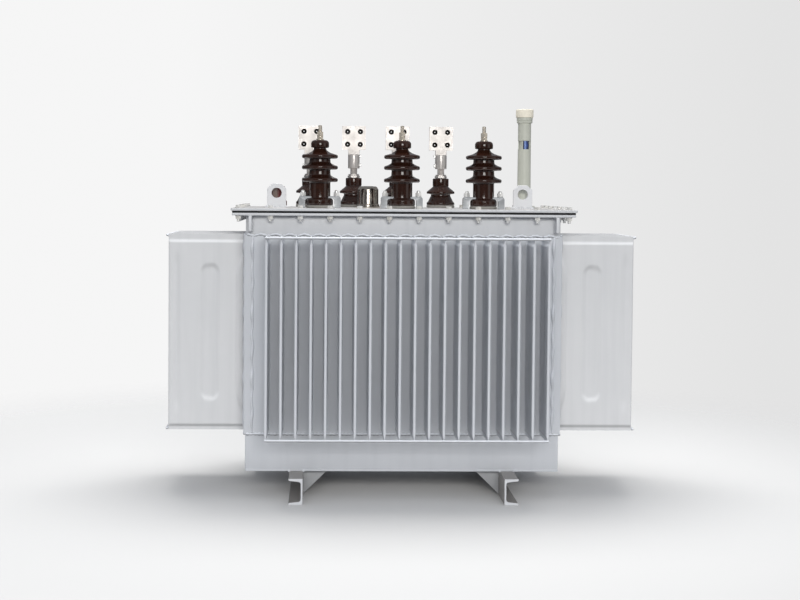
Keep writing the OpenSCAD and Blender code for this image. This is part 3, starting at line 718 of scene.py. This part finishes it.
zinc_plate = finish("zinc_plate", (0.97, 0.97, 0.96), (0.58, 0.53, 0.43), 0.42, 7.0,
                    0.13, 0.08, 500.0, 0.00005, Metallic=0.56)
flange_under, cover_top = flange_low[2], cover_high[2]
head_low, nut_top = cover_top + washer_thick, flange_under - washer_thick
hanging = thread(bolt_thread, -nut_top, bolt_end + bolt_nut - nut_top, bolt_pitch) * (1, -1, -1)
bolt_shapes = [washer(washer_radius, cover_top, head_low),
               hexagon(bolt_flats, head_low, head_low + bolt_head, domed=False),
               washer(washer_radius, nut_top, flange_under),
               hexagon(bolt_flats, nut_top - bolt_nut, nut_top),
               hanging]
row_x = np.concatenate([[-bolt_x], np.linspace(-long_row, long_row, long_bolts), [bolt_x]])
row_y = np.linspace(-bolt_y, bolt_y, side_bolts)[1:-1]
bolt_rows = {"front": [(x, -bolt_y, 0) for x in row_x], "back": [(x, bolt_y, 0) for x in row_x],
             "left": [(-bolt_x, y, 0) for y in row_y], "right": [(bolt_x, y, 0) for y in row_y]}
for name, places in bolt_rows.items():
    stood = np.array(places)[:, None, None]
    piece(f"cover_bolts_{name}", [surface(shape + stood) for shape in bolt_shapes], zinc_plate)


# High-voltage bushings
# Turned porcelain with a dark brown glaze: a foot that the clamps hold, a plain body, three round-edged
# sheds, and a cap under the terminal. A small fired ring marks the front of each foot.
foot_radius, foot_height = 0.0425, 0.0190
body_radius, core_radius, shed_radius = 0.0335, 0.0330, 0.0573
shed_levels = (0.080, 0.120, 0.155)
neck_radius, neck_level = 0.0195, 0.1790
cap_radius = 0.0288
mark_radius, mark_round, mark_height = 0.0048, 0.0016, 0.0115


def turned(points, steps, columns):
    """Turned shape from the corners of its profile, each a radius, a height and the rounding there: the
    profile is rounded, and its two ends close on the axis."""
    corners = np.array(points)
    profile = rounded(corners[:, :2], corners[:, 2], steps)
    return lathe(np.concatenate([profile[:1] * (0, 1), profile, profile[-1:] * (0, 1)]), columns)


def stand_of(node):
    """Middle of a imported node's foot, and the node's height."""
    low, high = corners_of(node)
    return np.append((low + high)[:2] / 2, low[2]), high[2] - low[2]


def hv_corners(height):
    """Corners of the porcelain's profile from its foot to its cap, rounded as the glaze leaves them. Each
    shed slopes up to the core and the top one sweeps up into the neck."""
    points = [(0.0002, 0, 0.0001), (foot_radius, 0, 0.0025), (foot_radius, foot_height, 0.0090),
              (body_radius, foot_height + 0.0048, 0.0040)]
    for radius, level in zip((body_radius, core_radius, core_radius), shed_levels):
        points += [(radius, level - 0.0055, 0.0036), (shed_radius, level - 0.0062, 0.0055),
                   (shed_radius, level + 0.0050, 0.0050)]
        if level < shed_levels[-1]:
            points += [(core_radius + 0.0130, level + 0.0085, 0.0200),
                       (core_radius + 0.0012, level + 0.0150, 0.0070)]
    top = shed_levels[-1]
    points += [(core_radius + 0.0130, top + 0.0078, 0.0200), (core_radius + 0.0010, top + 0.0118, 0.0200),
               (neck_radius + 0.0045, top + 0.0178, 0.0120), (neck_radius, neck_level, 0.0050),
               (neck_radius, neck_level + 0.0030, 0.0010), (cap_radius, neck_level + 0.0042, 0.0042),
               (cap_radius, height, 0.0110), (0.0002, height, 0.0001)]
    return points


porcelain_glaze = finish("porcelain_glaze", (0.0200, 0.0074, 0.0047), (0.036, 0.0130, 0.0078), 0.55, 26.0,
                         0.09, 0.05, 160.0, 0.0001, Specular_IOR_Level=0.5, Coat_Weight=0.45,
                         Coat_Roughness=0.05)
mark_angle = np.linspace(0, 2 * np.pi, 28, endpoint=False)[:, None]
mark_turn = np.linspace(0, 2 * np.pi, 10, endpoint=False)[None]
mark_out = mark_radius + mark_round * np.cos(mark_turn)
fired_ring = np.stack([mark_out * np.cos(mark_angle), mark_round * np.sin(mark_turn) + 0 * mark_angle,
                       mark_out * np.sin(mark_angle)], -1)
hv_places = []
for index in (1, 2, 3):
    foot, height = stand_of(f"hv_porcelain_{index}")
    hv_places.append(foot)
    mark = surface(fired_ring + foot - (0, foot_radius - 0.0002, -mark_height), closed_rows=True)
    piece(f"hv_insulator_{index}", [surface(turned(hv_corners(height), 7, 64) + foot), mark],
          porcelain_glaze, [f"hv_porcelain_{index}"], crease=50)


# High-voltage terminals
# A brass stud comes up through each bushing and is drawn tight by a washer and two zinc-plated nuts,
# leaving a free length of thread for the cable lug.
stud_radius, stud_pitch = 0.006, 0.00175
warm_zinc = finish("warm_zinc", (0.88, 0.81, 0.71), (0.66, 0.57, 0.44), 0.5, 70.0,
                   0.22, 0.12, 500.0, 0.0001, Metallic=0.82)
for index, foot in enumerate(hv_places, 1):
    low, high = corners_of(f"hv_terminal_{index}")
    base = low[2]
    shapes = [washer(0.0125, base, base + 0.0030), hexagon(0.0190, base + 0.003, base + 0.0115),
              washer(0.0095, base + 0.0110, base + 0.0132), hexagon(0.0195, base + 0.0130, base + 0.0265),
              thread(stud_radius, base + 0.020, high[2], stud_pitch, 24)]
    piece(f"hv_stud_{index}", [surface(shape + foot * (1, 1, 0)) for shape in shapes], warm_zinc,
          [f"hv_terminal_{index}"])


# High-voltage clamps
# Two cast light-alloy claws hold each bushing down: a heel on the cover, a rounded shoulder and a forked
# toe that hugs the porcelain above its foot. A stud, washer and nut pull each claw down.
claw_heel, claw_inner = 0.0670, 0.0465
claw_shoulder, claw_under = 0.0385, 0.0300
claw_tip, claw_root = 0.0350, 0.0480
claw_radii = [0.0010, 0.0085, 0.0022, 0.0022, 0.0090, 0.0010]
claw_bevel = 0.0014
heel_half, toe_half = 0.0100, 0.0262
clamp_stud_out, clamp_flats = 0.0535, 0.0180


def claw():
    """Claw beside a bushing on its +X side: the side outline, heel, shoulder and toe, is carried across the
    claw's width; the width grows from heel to toe, and the toe's end follows a circle round the body."""
    outline = rounded([(claw_heel, 0), (claw_heel, claw_shoulder), (claw_tip, claw_shoulder - 0.001),
                       (claw_tip, claw_under + 0.002), (claw_inner, claw_under), (claw_inner, 0)],
                      claw_radii, 9)
    across = np.array([-1, -0.94, -0.72, -0.40, 0, 0.40, 0.72, 0.94, 1])
    drawn = inset(outline, claw_bevel)
    loops = np.stack([drawn] + [outline] * (len(across) - 2) + [drawn])
    out, rise = loops[..., 0], loops[..., 1]
    share = smooth((claw_inner + 0.002 - out) / (claw_inner + 0.002 - claw_tip))
    sideways = across[:, None] * (heel_half + (toe_half - heel_half) * share)
    end = np.sqrt(np.clip((claw_tip + 0.0008) ** 2 - sideways ** 2, 0, None))
    toe = np.clip((claw_root - out) / (claw_root - claw_tip), 0, 1)
    out = np.where(out < claw_root, claw_root - toe * (claw_root - end), out)
    return np.stack([out, sideways, rise], -1)


def drum(radius, low, high, low_round, high_round, steps, columns):
    """Plain turned cylinder between two heights with its rims rounded."""
    return turned([(0.0002, low, 0.0001), (radius, low, low_round), (radius, high, high_round),
                   (0.0002, high, 0.0001)], steps, columns)


cast_alloy = finish("cast_alloy", (0.66, 0.68, 0.70), (0.46, 0.48, 0.50), 0.5, 60.0,
                    0.20, 0.08, 380.0, 0.00005, Metallic=0.62)
bright_zinc = finish("bright_zinc", (0.96, 0.96, 0.95), (0.74, 0.73, 0.71), 0.4, 60.0,
                     0.16, 0.10, 500.0, 0.00005, Metallic=0.50)
claw_body = claw()
clamp_shapes = [washer(0.0095, claw_shoulder - 0.0004, claw_shoulder + 0.0018),
                hexagon(clamp_flats, claw_shoulder + 0.0018, claw_shoulder + 0.0118),
                drum(0.0064, claw_shoulder, claw_shoulder + 0.0192, 0.0005, 0.0050, 6, 20)]
for index, foot in enumerate(hv_places, 1):
    axis = np.array((foot[0], foot[1], cover_top))
    claws, fasteners = [], []
    for side in (1, -1):
        claws += capped(claw_body * (side, side, 1) + axis)
        fasteners += [surface(shape + axis + (side * clamp_stud_out, 0, 0)) for shape in clamp_shapes]
    piece(f"hv_claws_{index}", claws, cast_alloy, [f"hv_clamps_{index}"], crease=40)
    piece(f"hv_claw_bolts_{index}", fasteners, bright_zinc)


# Low-voltage bushings
# Shorter turned porcelain in the same brown glaze: a conical foot, a neck, one round-edged shed and a
# plain top with a fine groove at its root.
lv_foot, lv_shed, lv_top, lv_height = 0.047, 0.047, 0.0270, 0.090
lv_corners = [(0.0002, 0, 0.0001), (lv_foot, 0, 0.0022), (lv_foot, 0.0075, 0.0030), (0.0425, 0.0120, 0.0040),
              (0.0330, 0.0310, 0.0030), (0.0325, 0.0345, 0.0020), (0.0340, 0.0370, 0.0020),
              (lv_shed, 0.0384, 0.0028), (lv_shed, 0.0450, 0.0028), (0.0320, 0.0570, 0.0120),
              (0.0262, 0.0625, 0.0012), (0.0258, 0.0640, 0.0006), (lv_top, 0.0648, 0.0006),
              (lv_top, lv_height, 0.0030), (0.0002, lv_height, 0.0001)]
lv_porcelain = turned(lv_corners, 6, 56)
lv_places = []
for index in (1, 2, 3, 4):
    foot, _ = stand_of(f"lv_porcelain_{index}")
    lv_places.append(foot)
    piece(f"lv_insulator_{index}", [surface(lv_porcelain + foot)], porcelain_glaze,
          [f"lv_porcelain_{index}"], crease=50)


# Low-voltage terminals
# A thick threaded stud with a flat nut carries a socket connector, held by two set screws on one side,
# that ends in a square palm with four holes. All of it is tinned brass with a faint pink cast, and the
# holes' countersinks are painted near black as painted shade.
palm_half, palm_half_thick = 0.040, 0.006
palm_throat, palm_mouth, palm_land = 0.0018, 0.0088, 0.0008
palm_hole_out = 0.0215
neck_half, neck_height, neck_bevel = 0.019, 0.015, 0.0008
connector_radius, connector_height = 0.0195, 0.048
screw_flats, screw_sides = 0.0100, (-1, 1, 1, -1)


def palm_quarter(columns=40):
    """Quarter of the palm round one hole: from the hole's throat the countersink widens to the front face,
    which runs out along rays to the quarter's square edge, over the thickness and back along the rear."""
    angle = np.linspace(0, 2 * np.pi, columns, endpoint=False) + np.pi / 4
    ray = np.stack([np.cos(angle), np.sin(angle)], -1)
    room = np.where(ray > 0, palm_half - palm_hole_out, palm_hole_out)
    reach = (room / np.maximum(np.abs(ray), 1e-9)).min(1)
    edge = palm_hole_out + ray * reach[:, None]
    throat, mouth, rim = (palm_hole_out + ray * radius
                          for radius in (palm_throat, palm_mouth, palm_mouth + 0.0004))
    depth = palm_half_thick
    rows = levelled(np.stack([throat, mouth, rim, edge, edge, rim, mouth, throat]),
                    [-palm_land, -depth, -depth, -depth, depth, depth, depth, palm_land])
    points, quads = surface(rows[..., [0, 2, 1]], closed_rows=True)
    inner = (np.abs(points[quads][..., [0, 2]]) < 1e-6).all(1).any(-1)
    return points, quads[~inner]


def shade_holes(made, middle):
    """Marks the palm's holes for painted shade: points within the countersink's radius of the nearest hole's
    axis get 1.
    """
    place = np.empty(3 * len(made.data.vertices))
    made.data.vertices.foreach_get("co", place)
    across = np.abs(place.reshape(-1, 3) - middle)[:, [0, 2]] - palm_hole_out
    mark = np.hypot(across[:, 0], across[:, 1]) < palm_mouth + 0.0001
    made.data.attributes.new("hole_shade", "FLOAT", "POINT").data.foreach_set("value", mark.astype(np.float32))


tinned_brass = finish("tinned_brass", (0.70, 0.668, 0.645), (0.60, 0.568, 0.545), 0.55, 30.0,
                      0.32, 0.14, 600.0, 0.0002, Metallic=0.66)
# The countersinks are painted near black: painted shade inside the holes.
hole_shade_share = wire(tinned_brass.node_tree, "ShaderNodeAttribute", {}, attribute_name="hole_shade").outputs["Fac"]
overlay(tinned_brass, hole_shade_share, (0.010, 0.008, 0.007))
palm_points, palm_quads = palm_quarter()
for index, (foot, screw_side) in enumerate(zip(lv_places, screw_sides), 1):
    low, high = corners_of(f"lv_terminal_{index}")
    axis = foot * (1, 1, 0)
    base = low[2]
    palm_low = high[2] - 2 * palm_half
    palm_middle = axis + (0, 0, high[2] - palm_half)
    connector_high = palm_low - neck_height
    connector_low = connector_high - connector_height
    neck = plate(rounded([(-neck_half, connector_high - 0.006), (neck_half, connector_high - 0.006),
                          (neck_half, palm_low + 0.002), (-neck_half, palm_low + 0.002)], 0.0012, 4),
                 -palm_half_thick + 0.0003, palm_half_thick - 0.0003, neck_bevel)
    shapes = [quarter_turn(hexagon(0.036, base, base + 0.0090), 1),
              quarter_turn(hexagon(0.034, base + 0.0092, base + 0.0130), 1),
              thread(0.0120, base + 0.010, connector_low + 0.006, 0.002, 32),
              drum(connector_radius, connector_low, connector_high, 0.0020, 0.0030, 5, 44),
              neck[..., [0, 2, 1]]]
    quarters = [(palm_points * (side, 1, rise) + palm_middle, palm_quads) for side, rise in four_corners]
    made = piece(f"lv_connector_{index}", [surface(shape + axis) for shape in shapes] + quarters,
                 tinned_brass, [f"lv_terminal_{index}"])
    shade_holes(made, palm_middle)
    screw = hexagon(screw_flats, connector_radius - 0.0030, connector_radius + 0.0052)[..., [2, 0, 1]]
    screws = [surface(screw * (screw_side, 1, 1) + axis + (0, 0, level))
              for level in (connector_low + 0.011, connector_high - 0.006)]
    piece(f"lv_pinch_bolts_{index}", screws, bright_zinc)


# Bushing gaskets
# Flat grey cork-rubber rings under the porcelain feet, squeezed so that their rims bulge a little.
# One lies under each of the seven bushings.
seat_out, seat_round = 0.0005, 0.0030
seat_low, seat_high = corners_of("bushing_gaskets")
cork_rubber = finish("cork_rubber", (0.30, 0.29, 0.27), (0.19, 0.175, 0.155), 0.7, 240.0,
                     0.78, 0.12, 700.0, 0.0004, Specular_IOR_Level=0.25)
seats = []
for places, radius in ((hv_places, foot_radius), (lv_places, lv_foot)):
    seat = drum(radius + seat_out, seat_low[2], seat_high[2], seat_round, seat_round, 5, 48)
    seats += [surface(seat + foot * (1, 1, 0)) for foot in places]
piece("bushing_seats", seats, cork_rubber, ["bushing_gaskets"])


# Pressure relief valve
# A spun cap, nickel-plated brass, over a flanged spring valve: a domed top with a rolled shoulder and a
# stepped skirt that is screwed down onto a flat flange.
relief_foot, top = stand_of("relief_valve")
relief_corners = [(0.0002, 0, 0.0001), (0.0400, 0, 0.0008), (0.0400, 0.0050, 0.0010),
                  (0.0372, 0.0062, 0.0008), (0.0372, 0.0105, 0.0012), (0.0345, 0.0125, 0.0012),
                  (0.0340, top - 0.0100, 0.0100), (0.0280, top - 0.0012, 0.0060),
                  (0.0120, top, 0.0060), (0.0002, top, 0.0001)]
nickel_plate = finish("nickel_plate", (0.66, 0.61, 0.55), (0.52, 0.46, 0.40), 0.5, 40.0,
                      0.15, 0.08, 300.0, 0.00002, Metallic=1.0)
piece("relief_cap", [surface(turned(relief_corners, 7, 64) + relief_foot)], nickel_plate,
      ["relief_valve"], crease=40)


# Tap changer
# Off-load voltage selector: a moulded dark red knob with grip flutes and a brown grip across it, turned
# by hand with the power off. Its base is screwed to the cover.
knob_radius, knob_low = 0.0250, 0.0300
flutes, flute_depth = 12, 0.05
tap_foot, top = stand_of("tap_changer")
tap_corners = [(0.0002, 0, 0.0001), (0.0310, 0, 0.0010), (0.0310, 0.0200, 0.0030), (0.0270, 0.0240, 0.0015),
               (0.0235, 0.0265, 0.0015), (knob_radius, knob_low, 0.0020), (knob_radius, top, 0.0070),
               (0.0002, top, 0.0001)]
knob = turned(tap_corners, 7, 96)
knob_turn = np.arctan2(knob[..., 1], knob[..., 0])
grip = smooth((knob[..., 2] - knob_low) / 0.004) * smooth((top - 0.002 - knob[..., 2]) / 0.006)
knob[..., :2] *= (1 - flute_depth * grip * (0.5 + 0.5 * np.cos(flutes * knob_turn)))[..., None]
moulded_red = finish("moulded_red", (0.105, 0.014, 0.012), (0.060, 0.011, 0.010), 0.6, 50.0,
                     0.32, 0.12, 350.0, 0.0002, Specular_IOR_Level=0.5)
piece("tap_knob", [surface(knob + tap_foot)], moulded_red, ["tap_changer"], crease=45)
wing_outline = rounded([(-0.028, 0.026), (0.020, 0.026), (0.020, 0.064), (0.010, top - 0.001),
                        (-0.020, top - 0.001), (-0.028, 0.064)], 0.004, 5)
wing = plate(wing_outline, -0.0165, 0.0005, 0.0022)
moulded_brown = finish("moulded_brown", (0.150, 0.110, 0.095), (0.105, 0.075, 0.062), 0.6, 60.0,
                       0.38, 0.12, 350.0, 0.0002, Specular_IOR_Level=0.45)
piece("tap_grip", [surface(wing[..., [2, 0, 1]] + tap_foot)], moulded_brown)


# Lifting lugs
# Thick steel plates with clipped top corners and a drilled eye, stood on the cover and welded all round
# their feet with a heavy fillet.
lug_chamfer, lug_bevel = 0.016, 0.0010
lug_eye, lug_eye_height = 0.0165, 0.047
fillet, fillet_rise = 0.0050, 0.0008


def eyed_plate(half, height, thick, columns=144):
    """Plate with an eye: along rays from the eye's middle the face runs from the eye's rim to the nearest
    of the outline's straight edges, over the thickness and back, with both rims drawn in by a bevel."""
    angle = np.linspace(0, 2 * np.pi, columns, endpoint=False)
    ray = np.stack([np.cos(angle), np.sin(angle)], -1)
    slope = np.sqrt(0.5)
    facing = np.array([(1, 0), (-1, 0), (0, 1), (0, -1), (slope, slope), (-slope, slope)])
    above = height - lug_eye_height
    clipped = slope * (half + above - lug_chamfer)
    away = np.array([half, half, above, lug_eye_height, clipped, clipped])
    towards = ray @ facing.T
    edge = np.where(towards > 1e-6, away / np.maximum(towards, 1e-6), np.inf).min(1)[:, None]
    radii = [lug_eye, lug_eye + lug_bevel, edge - lug_bevel, edge]
    loops = np.stack([ray * radius + (0, lug_eye_height) for radius in radii + radii[::-1]])
    front = np.array([lug_bevel - thick, -thick, -thick, lug_bevel - thick])
    return levelled(loops, np.concatenate([front, -front]))[..., [0, 2, 1]]


# A much lighter, warmer copy of the tank paint: painted light on the lugs.
lug_paint = painted("lug_paint", 1.13, pale_dust, 0.20, 0.0, -0.012)
for side in ("left", "right"):
    low, high = corners_of(f"lifting_lug_{side}")
    foot, height = stand_of(f"lifting_lug_{side}")
    half, thick = (high - low)[:2] / 2
    grids = [surface(eyed_plate(half, height, thick) + foot, closed_rows=True)]
    for end in (-1, 1):
        for out, run in (((0, end * (thick + 0.001), fillet_rise), (half + 0.004, 0, 0)),
                         ((end * (half + 0.001), 0, fillet_rise), (0, thick + 0.003, 0))):
            grids.append(weld(foot + out - run, foot + out + run, fillet))
    piece(f"lug_plate_{side}", grids, lug_paint, [f"lifting_lug_{side}"])


# Oil gauge
# A moulded beige-grey tube stands on a flange over the oil. A slot cut in its front shows the inner sleeve
# and the blue window on it, and a cream cap over a collar closes the filler at its top.
gauge_radius, collar_radius, collar_groove = 0.0215, 0.0262, 0.0014
collar_height, slot_radius = 0.0180, 0.0156
slot_from, pane_from, slot_to = np.radians((-118, -22, 62))
gauge_foot, gauge_height = stand_of("gauge_tube")
window_low, window_high = corners_of("gauge_window")
sill, head = window_low[2] - gauge_foot[2], window_high[2] - gauge_foot[2]


def gauge_shell(columns=60):
    """Gauge tube: a turned profile, flange, tube and collar, whose wall is cut away to the inner sleeve
    between two heights and two angles, counted from the front towards +X."""
    hair = 1e-4
    turn = np.concatenate([np.linspace(slot_from, slot_to, 31),
                           np.linspace(slot_to + hair, 2 * np.pi + slot_from - hair, columns - 30)])
    foot = np.array([(0.0002, 0, 0.0001), (0.0360, 0, 0.0008), (0.0360, 0.0085, 0.0015),
                     (0.0250, 0.0105, 0.0030), (gauge_radius + 0.0006, 0.0180, 0.0040),
                     (gauge_radius, sill - 0.02, 0.0001), (0.0002, sill - 0.02, 0.0001)])
    lower = rounded(foot[:, :2], foot[:, 2], 5)[:-9]
    middle = np.array([(gauge_radius, z) for z in (sill - hair, sill, head, head + hair)])
    step = gauge_height - collar_height
    neck = collar_radius - collar_groove
    collar = np.array([(0.0002, step - 0.0008, 0.0001), (gauge_radius, step - 0.0008, 0.0004),
                       (collar_radius - 0.0006, step, 0.0012), (collar_radius, step + 0.0065, 0.0008),
                       (neck, step + 0.0072, 0.0004), (neck, step + 0.0084, 0.0004),
                       (collar_radius, step + 0.0091, 0.0008), (collar_radius, gauge_height, 0.0006),
                       (0.0002, gauge_height, 0.0001)])
    upper = rounded(collar[:, :2], collar[:, 2], 5)[5:]
    profile = np.concatenate([lower[:1] * (0, 1), lower, middle, upper, upper[-1:] * (0, 1)])
    radius, height = profile[:, :1] + 0 * turn, profile[:, 1:] + 0 * turn
    inside = (height > sill - hair / 2) & (height < head + hair / 2) & (turn < slot_to + hair / 2)
    radius = np.where(inside, np.minimum(radius, slot_radius), radius)
    return np.stack([radius * np.sin(turn), -radius * np.cos(turn), height], -1)


moulded_beige = finish("moulded_beige", (0.51, 0.52, 0.46), (0.45, 0.46, 0.40), 0.45, 22.0,
                       0.34, 0.14, 500.0, 0.0001, Specular_IOR_Level=0.45)
piece("gauge_body", [surface(gauge_shell() + gauge_foot)], moulded_beige, ["gauge_tube"])
pane_turn = np.linspace(pane_from, slot_to, 14)
pane_arc = np.stack([np.sin(pane_turn), -np.cos(pane_turn)], -1)
pane_outline = np.concatenate([(slot_radius + 0.0005) * pane_arc, (slot_radius - 0.0015) * pane_arc[::-1]])
blue_pane = finish("blue_pane", (0.014, 0.060, 0.330), (0.030, 0.030, 0.060), 0.8, 70.0,
                   0.10, 0.06, 300.0, 0.0001, Coat_Weight=0.6, Coat_Roughness=0.03)
# Across the pane its colour is painted light: a pale blue stripe is a painted highlight, and its near-black
# edges are painted shade.
tree = blue_pane.node_tree
sideways = wire(tree, "ShaderNodeSeparateXYZ", {0: own_place(tree)}).outputs["X"]
stripe = ranged(tree, sideways, gauge_foot[0] - 0.0060, gauge_foot[0] + 0.0140)
pane_light_ramp = wire(tree, "ShaderNodeValToRGB", {0: stripe})
for stop, light_tone in ((0.06, 0.03), (0.18, 0.22), (0.30, 1.0), (0.42, 0.90), (0.52, 0.14), (0.74, 0.10)):
    pane_light_ramp.color_ramp.elements.new(stop).color = (light_tone, light_tone, light_tone, 1.0)
pane_light_ramp.color_ramp.elements[0].color = (0.0, 0.0, 0.0, 1.0)
pane_light_ramp.color_ramp.elements[-1].color = (0.02, 0.02, 0.02, 1.0)
overlay(blue_pane, pane_light_ramp.outputs[0], (0.20, 0.30, 0.60))
shade = tree.nodes["Principled BSDF"].inputs["Base Color"]
# Where the ramp is low the pane goes near black: painted shade at its edges.
lit = reckon(tree, "MULTIPLY", pane_light_ramp.outputs[0], 6.0, use_clamp=True)
tree.links.new(blend(tree, lit, (0.006, 0.006, 0.010, 1.0), shade.links[0].from_socket), shade)
piece("gauge_pane", capped(strip_bar(pane_outline, sill, head, 0.0002) + gauge_foot), blue_pane,
      ["gauge_window"])
lid_foot, top = stand_of("gauge_cap")
lid_corners = [(0.0002, 0, 0.0001), (0.0282, 0, 0.0010), (0.0290, 0.0030, 0.0010), (0.0290, top, 0.0026),
               (0.0240, top, 0.0010), (0.0232, top - 0.0008, 0.0008), (0.0002, top - 0.0008, 0.0001)]
cream_cap = finish("cream_cap", (0.84, 0.79, 0.67), (0.75, 0.70, 0.59), 0.5, 30.0,
                   0.48, 0.14, 420.0, 0.0002, Specular_IOR_Level=0.4)
lid_place = (gauge_foot[0], gauge_foot[1], lid_foot[2])
piece("gauge_lid", [surface(turned(lid_corners, 6, 96) + lid_place)], cream_cap,
      ["gauge_cap"], crease=40)


# Floor, light and camera
# A plain pale studio floor fades into the backdrop. A broad light overhead and one in front light the
# object without showing in its gloss, a smaller catch light shows there, and weak fills stand at the
# sides. The camera stands before the high-voltage side, a little left.
floor_reach = 9.0
fade_from, fade_to = 1.0, 2.7
lamp_colour = (1.0, 0.985, 0.955)
camera_place = (-0.24970, -4.67081, 0.95886)
yaw, pitch, roll = np.radians((1.473, 2.009, 0.425))
rim = np.concatenate([[0.0], np.linspace(0.3, floor_reach, 30)])
disc = lathe(np.stack([rim, 0 * rim], -1), 64) + (0, 0, -0.0005)
floor_points, floor_quads = surface(disc)
floor_mesh = bpy.data.meshes.new("studio_floor")
floor_mesh.from_pydata(floor_points.tolist(), [], floor_quads[:, ::-1].tolist())
studio_floor = bpy.data.objects.new("studio_floor", floor_mesh)
bpy.context.scene.collection.objects.link(studio_floor)
floor_finish = bpy.data.materials.new("floor_finish")
floor_finish.use_nodes = True
tree = floor_finish.node_tree
matt = tree.nodes["Principled BSDF"]
matt.inputs["Base Color"].default_value = (0.74, 0.735, 0.73, 1.0)
matt.inputs["Roughness"].default_value = 0.9
matt.inputs["Specular IOR Level"].default_value = 0.1
away = wire(tree, "ShaderNodeVectorMath", {0: own_place(tree)}, operation="LENGTH").outputs["Value"]
fade = ranged(tree, away, fade_from, fade_to, interpolation_type="SMOOTHSTEP")
clear = wire(tree, "ShaderNodeBsdfTransparent", {}).outputs[0]
mixed = wire(tree, "ShaderNodeMixShader", {0: fade, 1: matt.outputs[0], 2: clear}).outputs[0]
tree.links.new(mixed, tree.nodes["Material Output"].inputs["Surface"])
floor_mesh.materials.append(floor_finish)

world = bpy.data.worlds.new("studio_air")
bpy.context.scene.world = world
world.use_nodes = True
tree = world.node_tree
view = wire(tree, "ShaderNodeTexCoord", {}).outputs["Generated"]
heading = wire(tree, "ShaderNodeSeparateXYZ", {0: view}).outputs
path = wire(tree, "ShaderNodeLightPath", {}).outputs
pale = ranged(tree, heading["X"], -0.10, 0.30, 0.92, 0.77)
glow = ranged(tree, heading["Z"], 0.02, 0.32, 0.13, 0.475, interpolation_type="SMOOTHSTEP")
dim = reckon(tree, "MULTIPLY", glow, 0.5)
seen, shed, mirrored = (
    wire(tree, "ShaderNodeBackground", {"Color": (*colour, 1.0), "Strength": strength}).outputs[0]
    for colour, strength in (((1.0, 1.0, 1.0), pale), ((0.90, 0.96, 1.05), glow), ((0.94, 0.97, 1.02), dim)))
light = wire(tree, "ShaderNodeMixShader", {0: path["Is Glossy Ray"], 1: shed, 2: mirrored}).outputs[0]
both = wire(tree, "ShaderNodeMixShader", {0: path["Is Camera Ray"], 1: light, 2: seen}).outputs[0]
tree.links.new(both, tree.nodes["World Output"].inputs["Surface"])


def softbox(name, place, aim, width, height, power, mirrored=True):
    """Soft rectangular lamp at a place, turned to face the point it aims at; a lamp that is not mirrored
    lights a surface without showing in its gloss."""
    lamp = bpy.data.lights.new(name, "AREA")
    lamp.shape = "RECTANGLE"
    lamp.size = width
    lamp.size_y = height
    lamp.energy = power
    lamp.color = lamp_colour
    made = bpy.data.objects.new(name, lamp)
    made.visible_glossy = mirrored
    made.location = place
    made.rotation_euler = (Vector(aim) - Vector(place)).to_track_quat("-Z", "Y").to_euler()
    bpy.context.scene.collection.objects.link(made)


softbox("overhead_light", (0.0, 0.7, 3.4), (0.0, -0.3, 0.0), 2.8, 1.8, 108.0, mirrored=False)
softbox("front_light", (0.05, -7.0, 2.5), (0.0, 0.0, 0.5), 5.0, 1.4, 242.0, mirrored=False)
softbox("catch_light", (0.20, -7.0, 2.2), (0.0, 0.0, 0.9), 2.8, 1.6, 94.0)
softbox("left_light", (-4.2, -2.6, 1.4), (0.0, 0.0, 0.6), 2.6, 2.2, 4.0)
softbox("right_light", (4.2, -2.6, 1.4), (0.0, 0.0, 0.6), 2.6, 2.2, 8.0)

forward = np.array((np.sin(yaw) * np.cos(pitch), np.cos(yaw) * np.cos(pitch), -np.sin(pitch)))
level_right = np.array((np.cos(yaw), -np.sin(yaw), 0.0))
level_up = np.cross(level_right, forward)
right = np.cos(roll) * level_right + np.sin(roll) * level_up
up = np.cos(roll) * level_up - np.sin(roll) * level_right
lens = bpy.data.cameras.new("photo_camera")
lens.sensor_width = 36.0
lens.lens = 64.22
lens.shift_x = 0.05
lens.shift_y = -0.075
camera = bpy.data.objects.new("photo_camera", lens)
camera.matrix_world = Matrix([[right[i], up[i], -forward[i], camera_place[i]] for i in range(3)]
                             + [[0.0, 0.0, 0.0, 1.0]])
bpy.context.scene.collection.objects.link(camera)
bpy.context.scene.camera = camera
bpy.context.scene.view_settings.view_transform = "Standard"
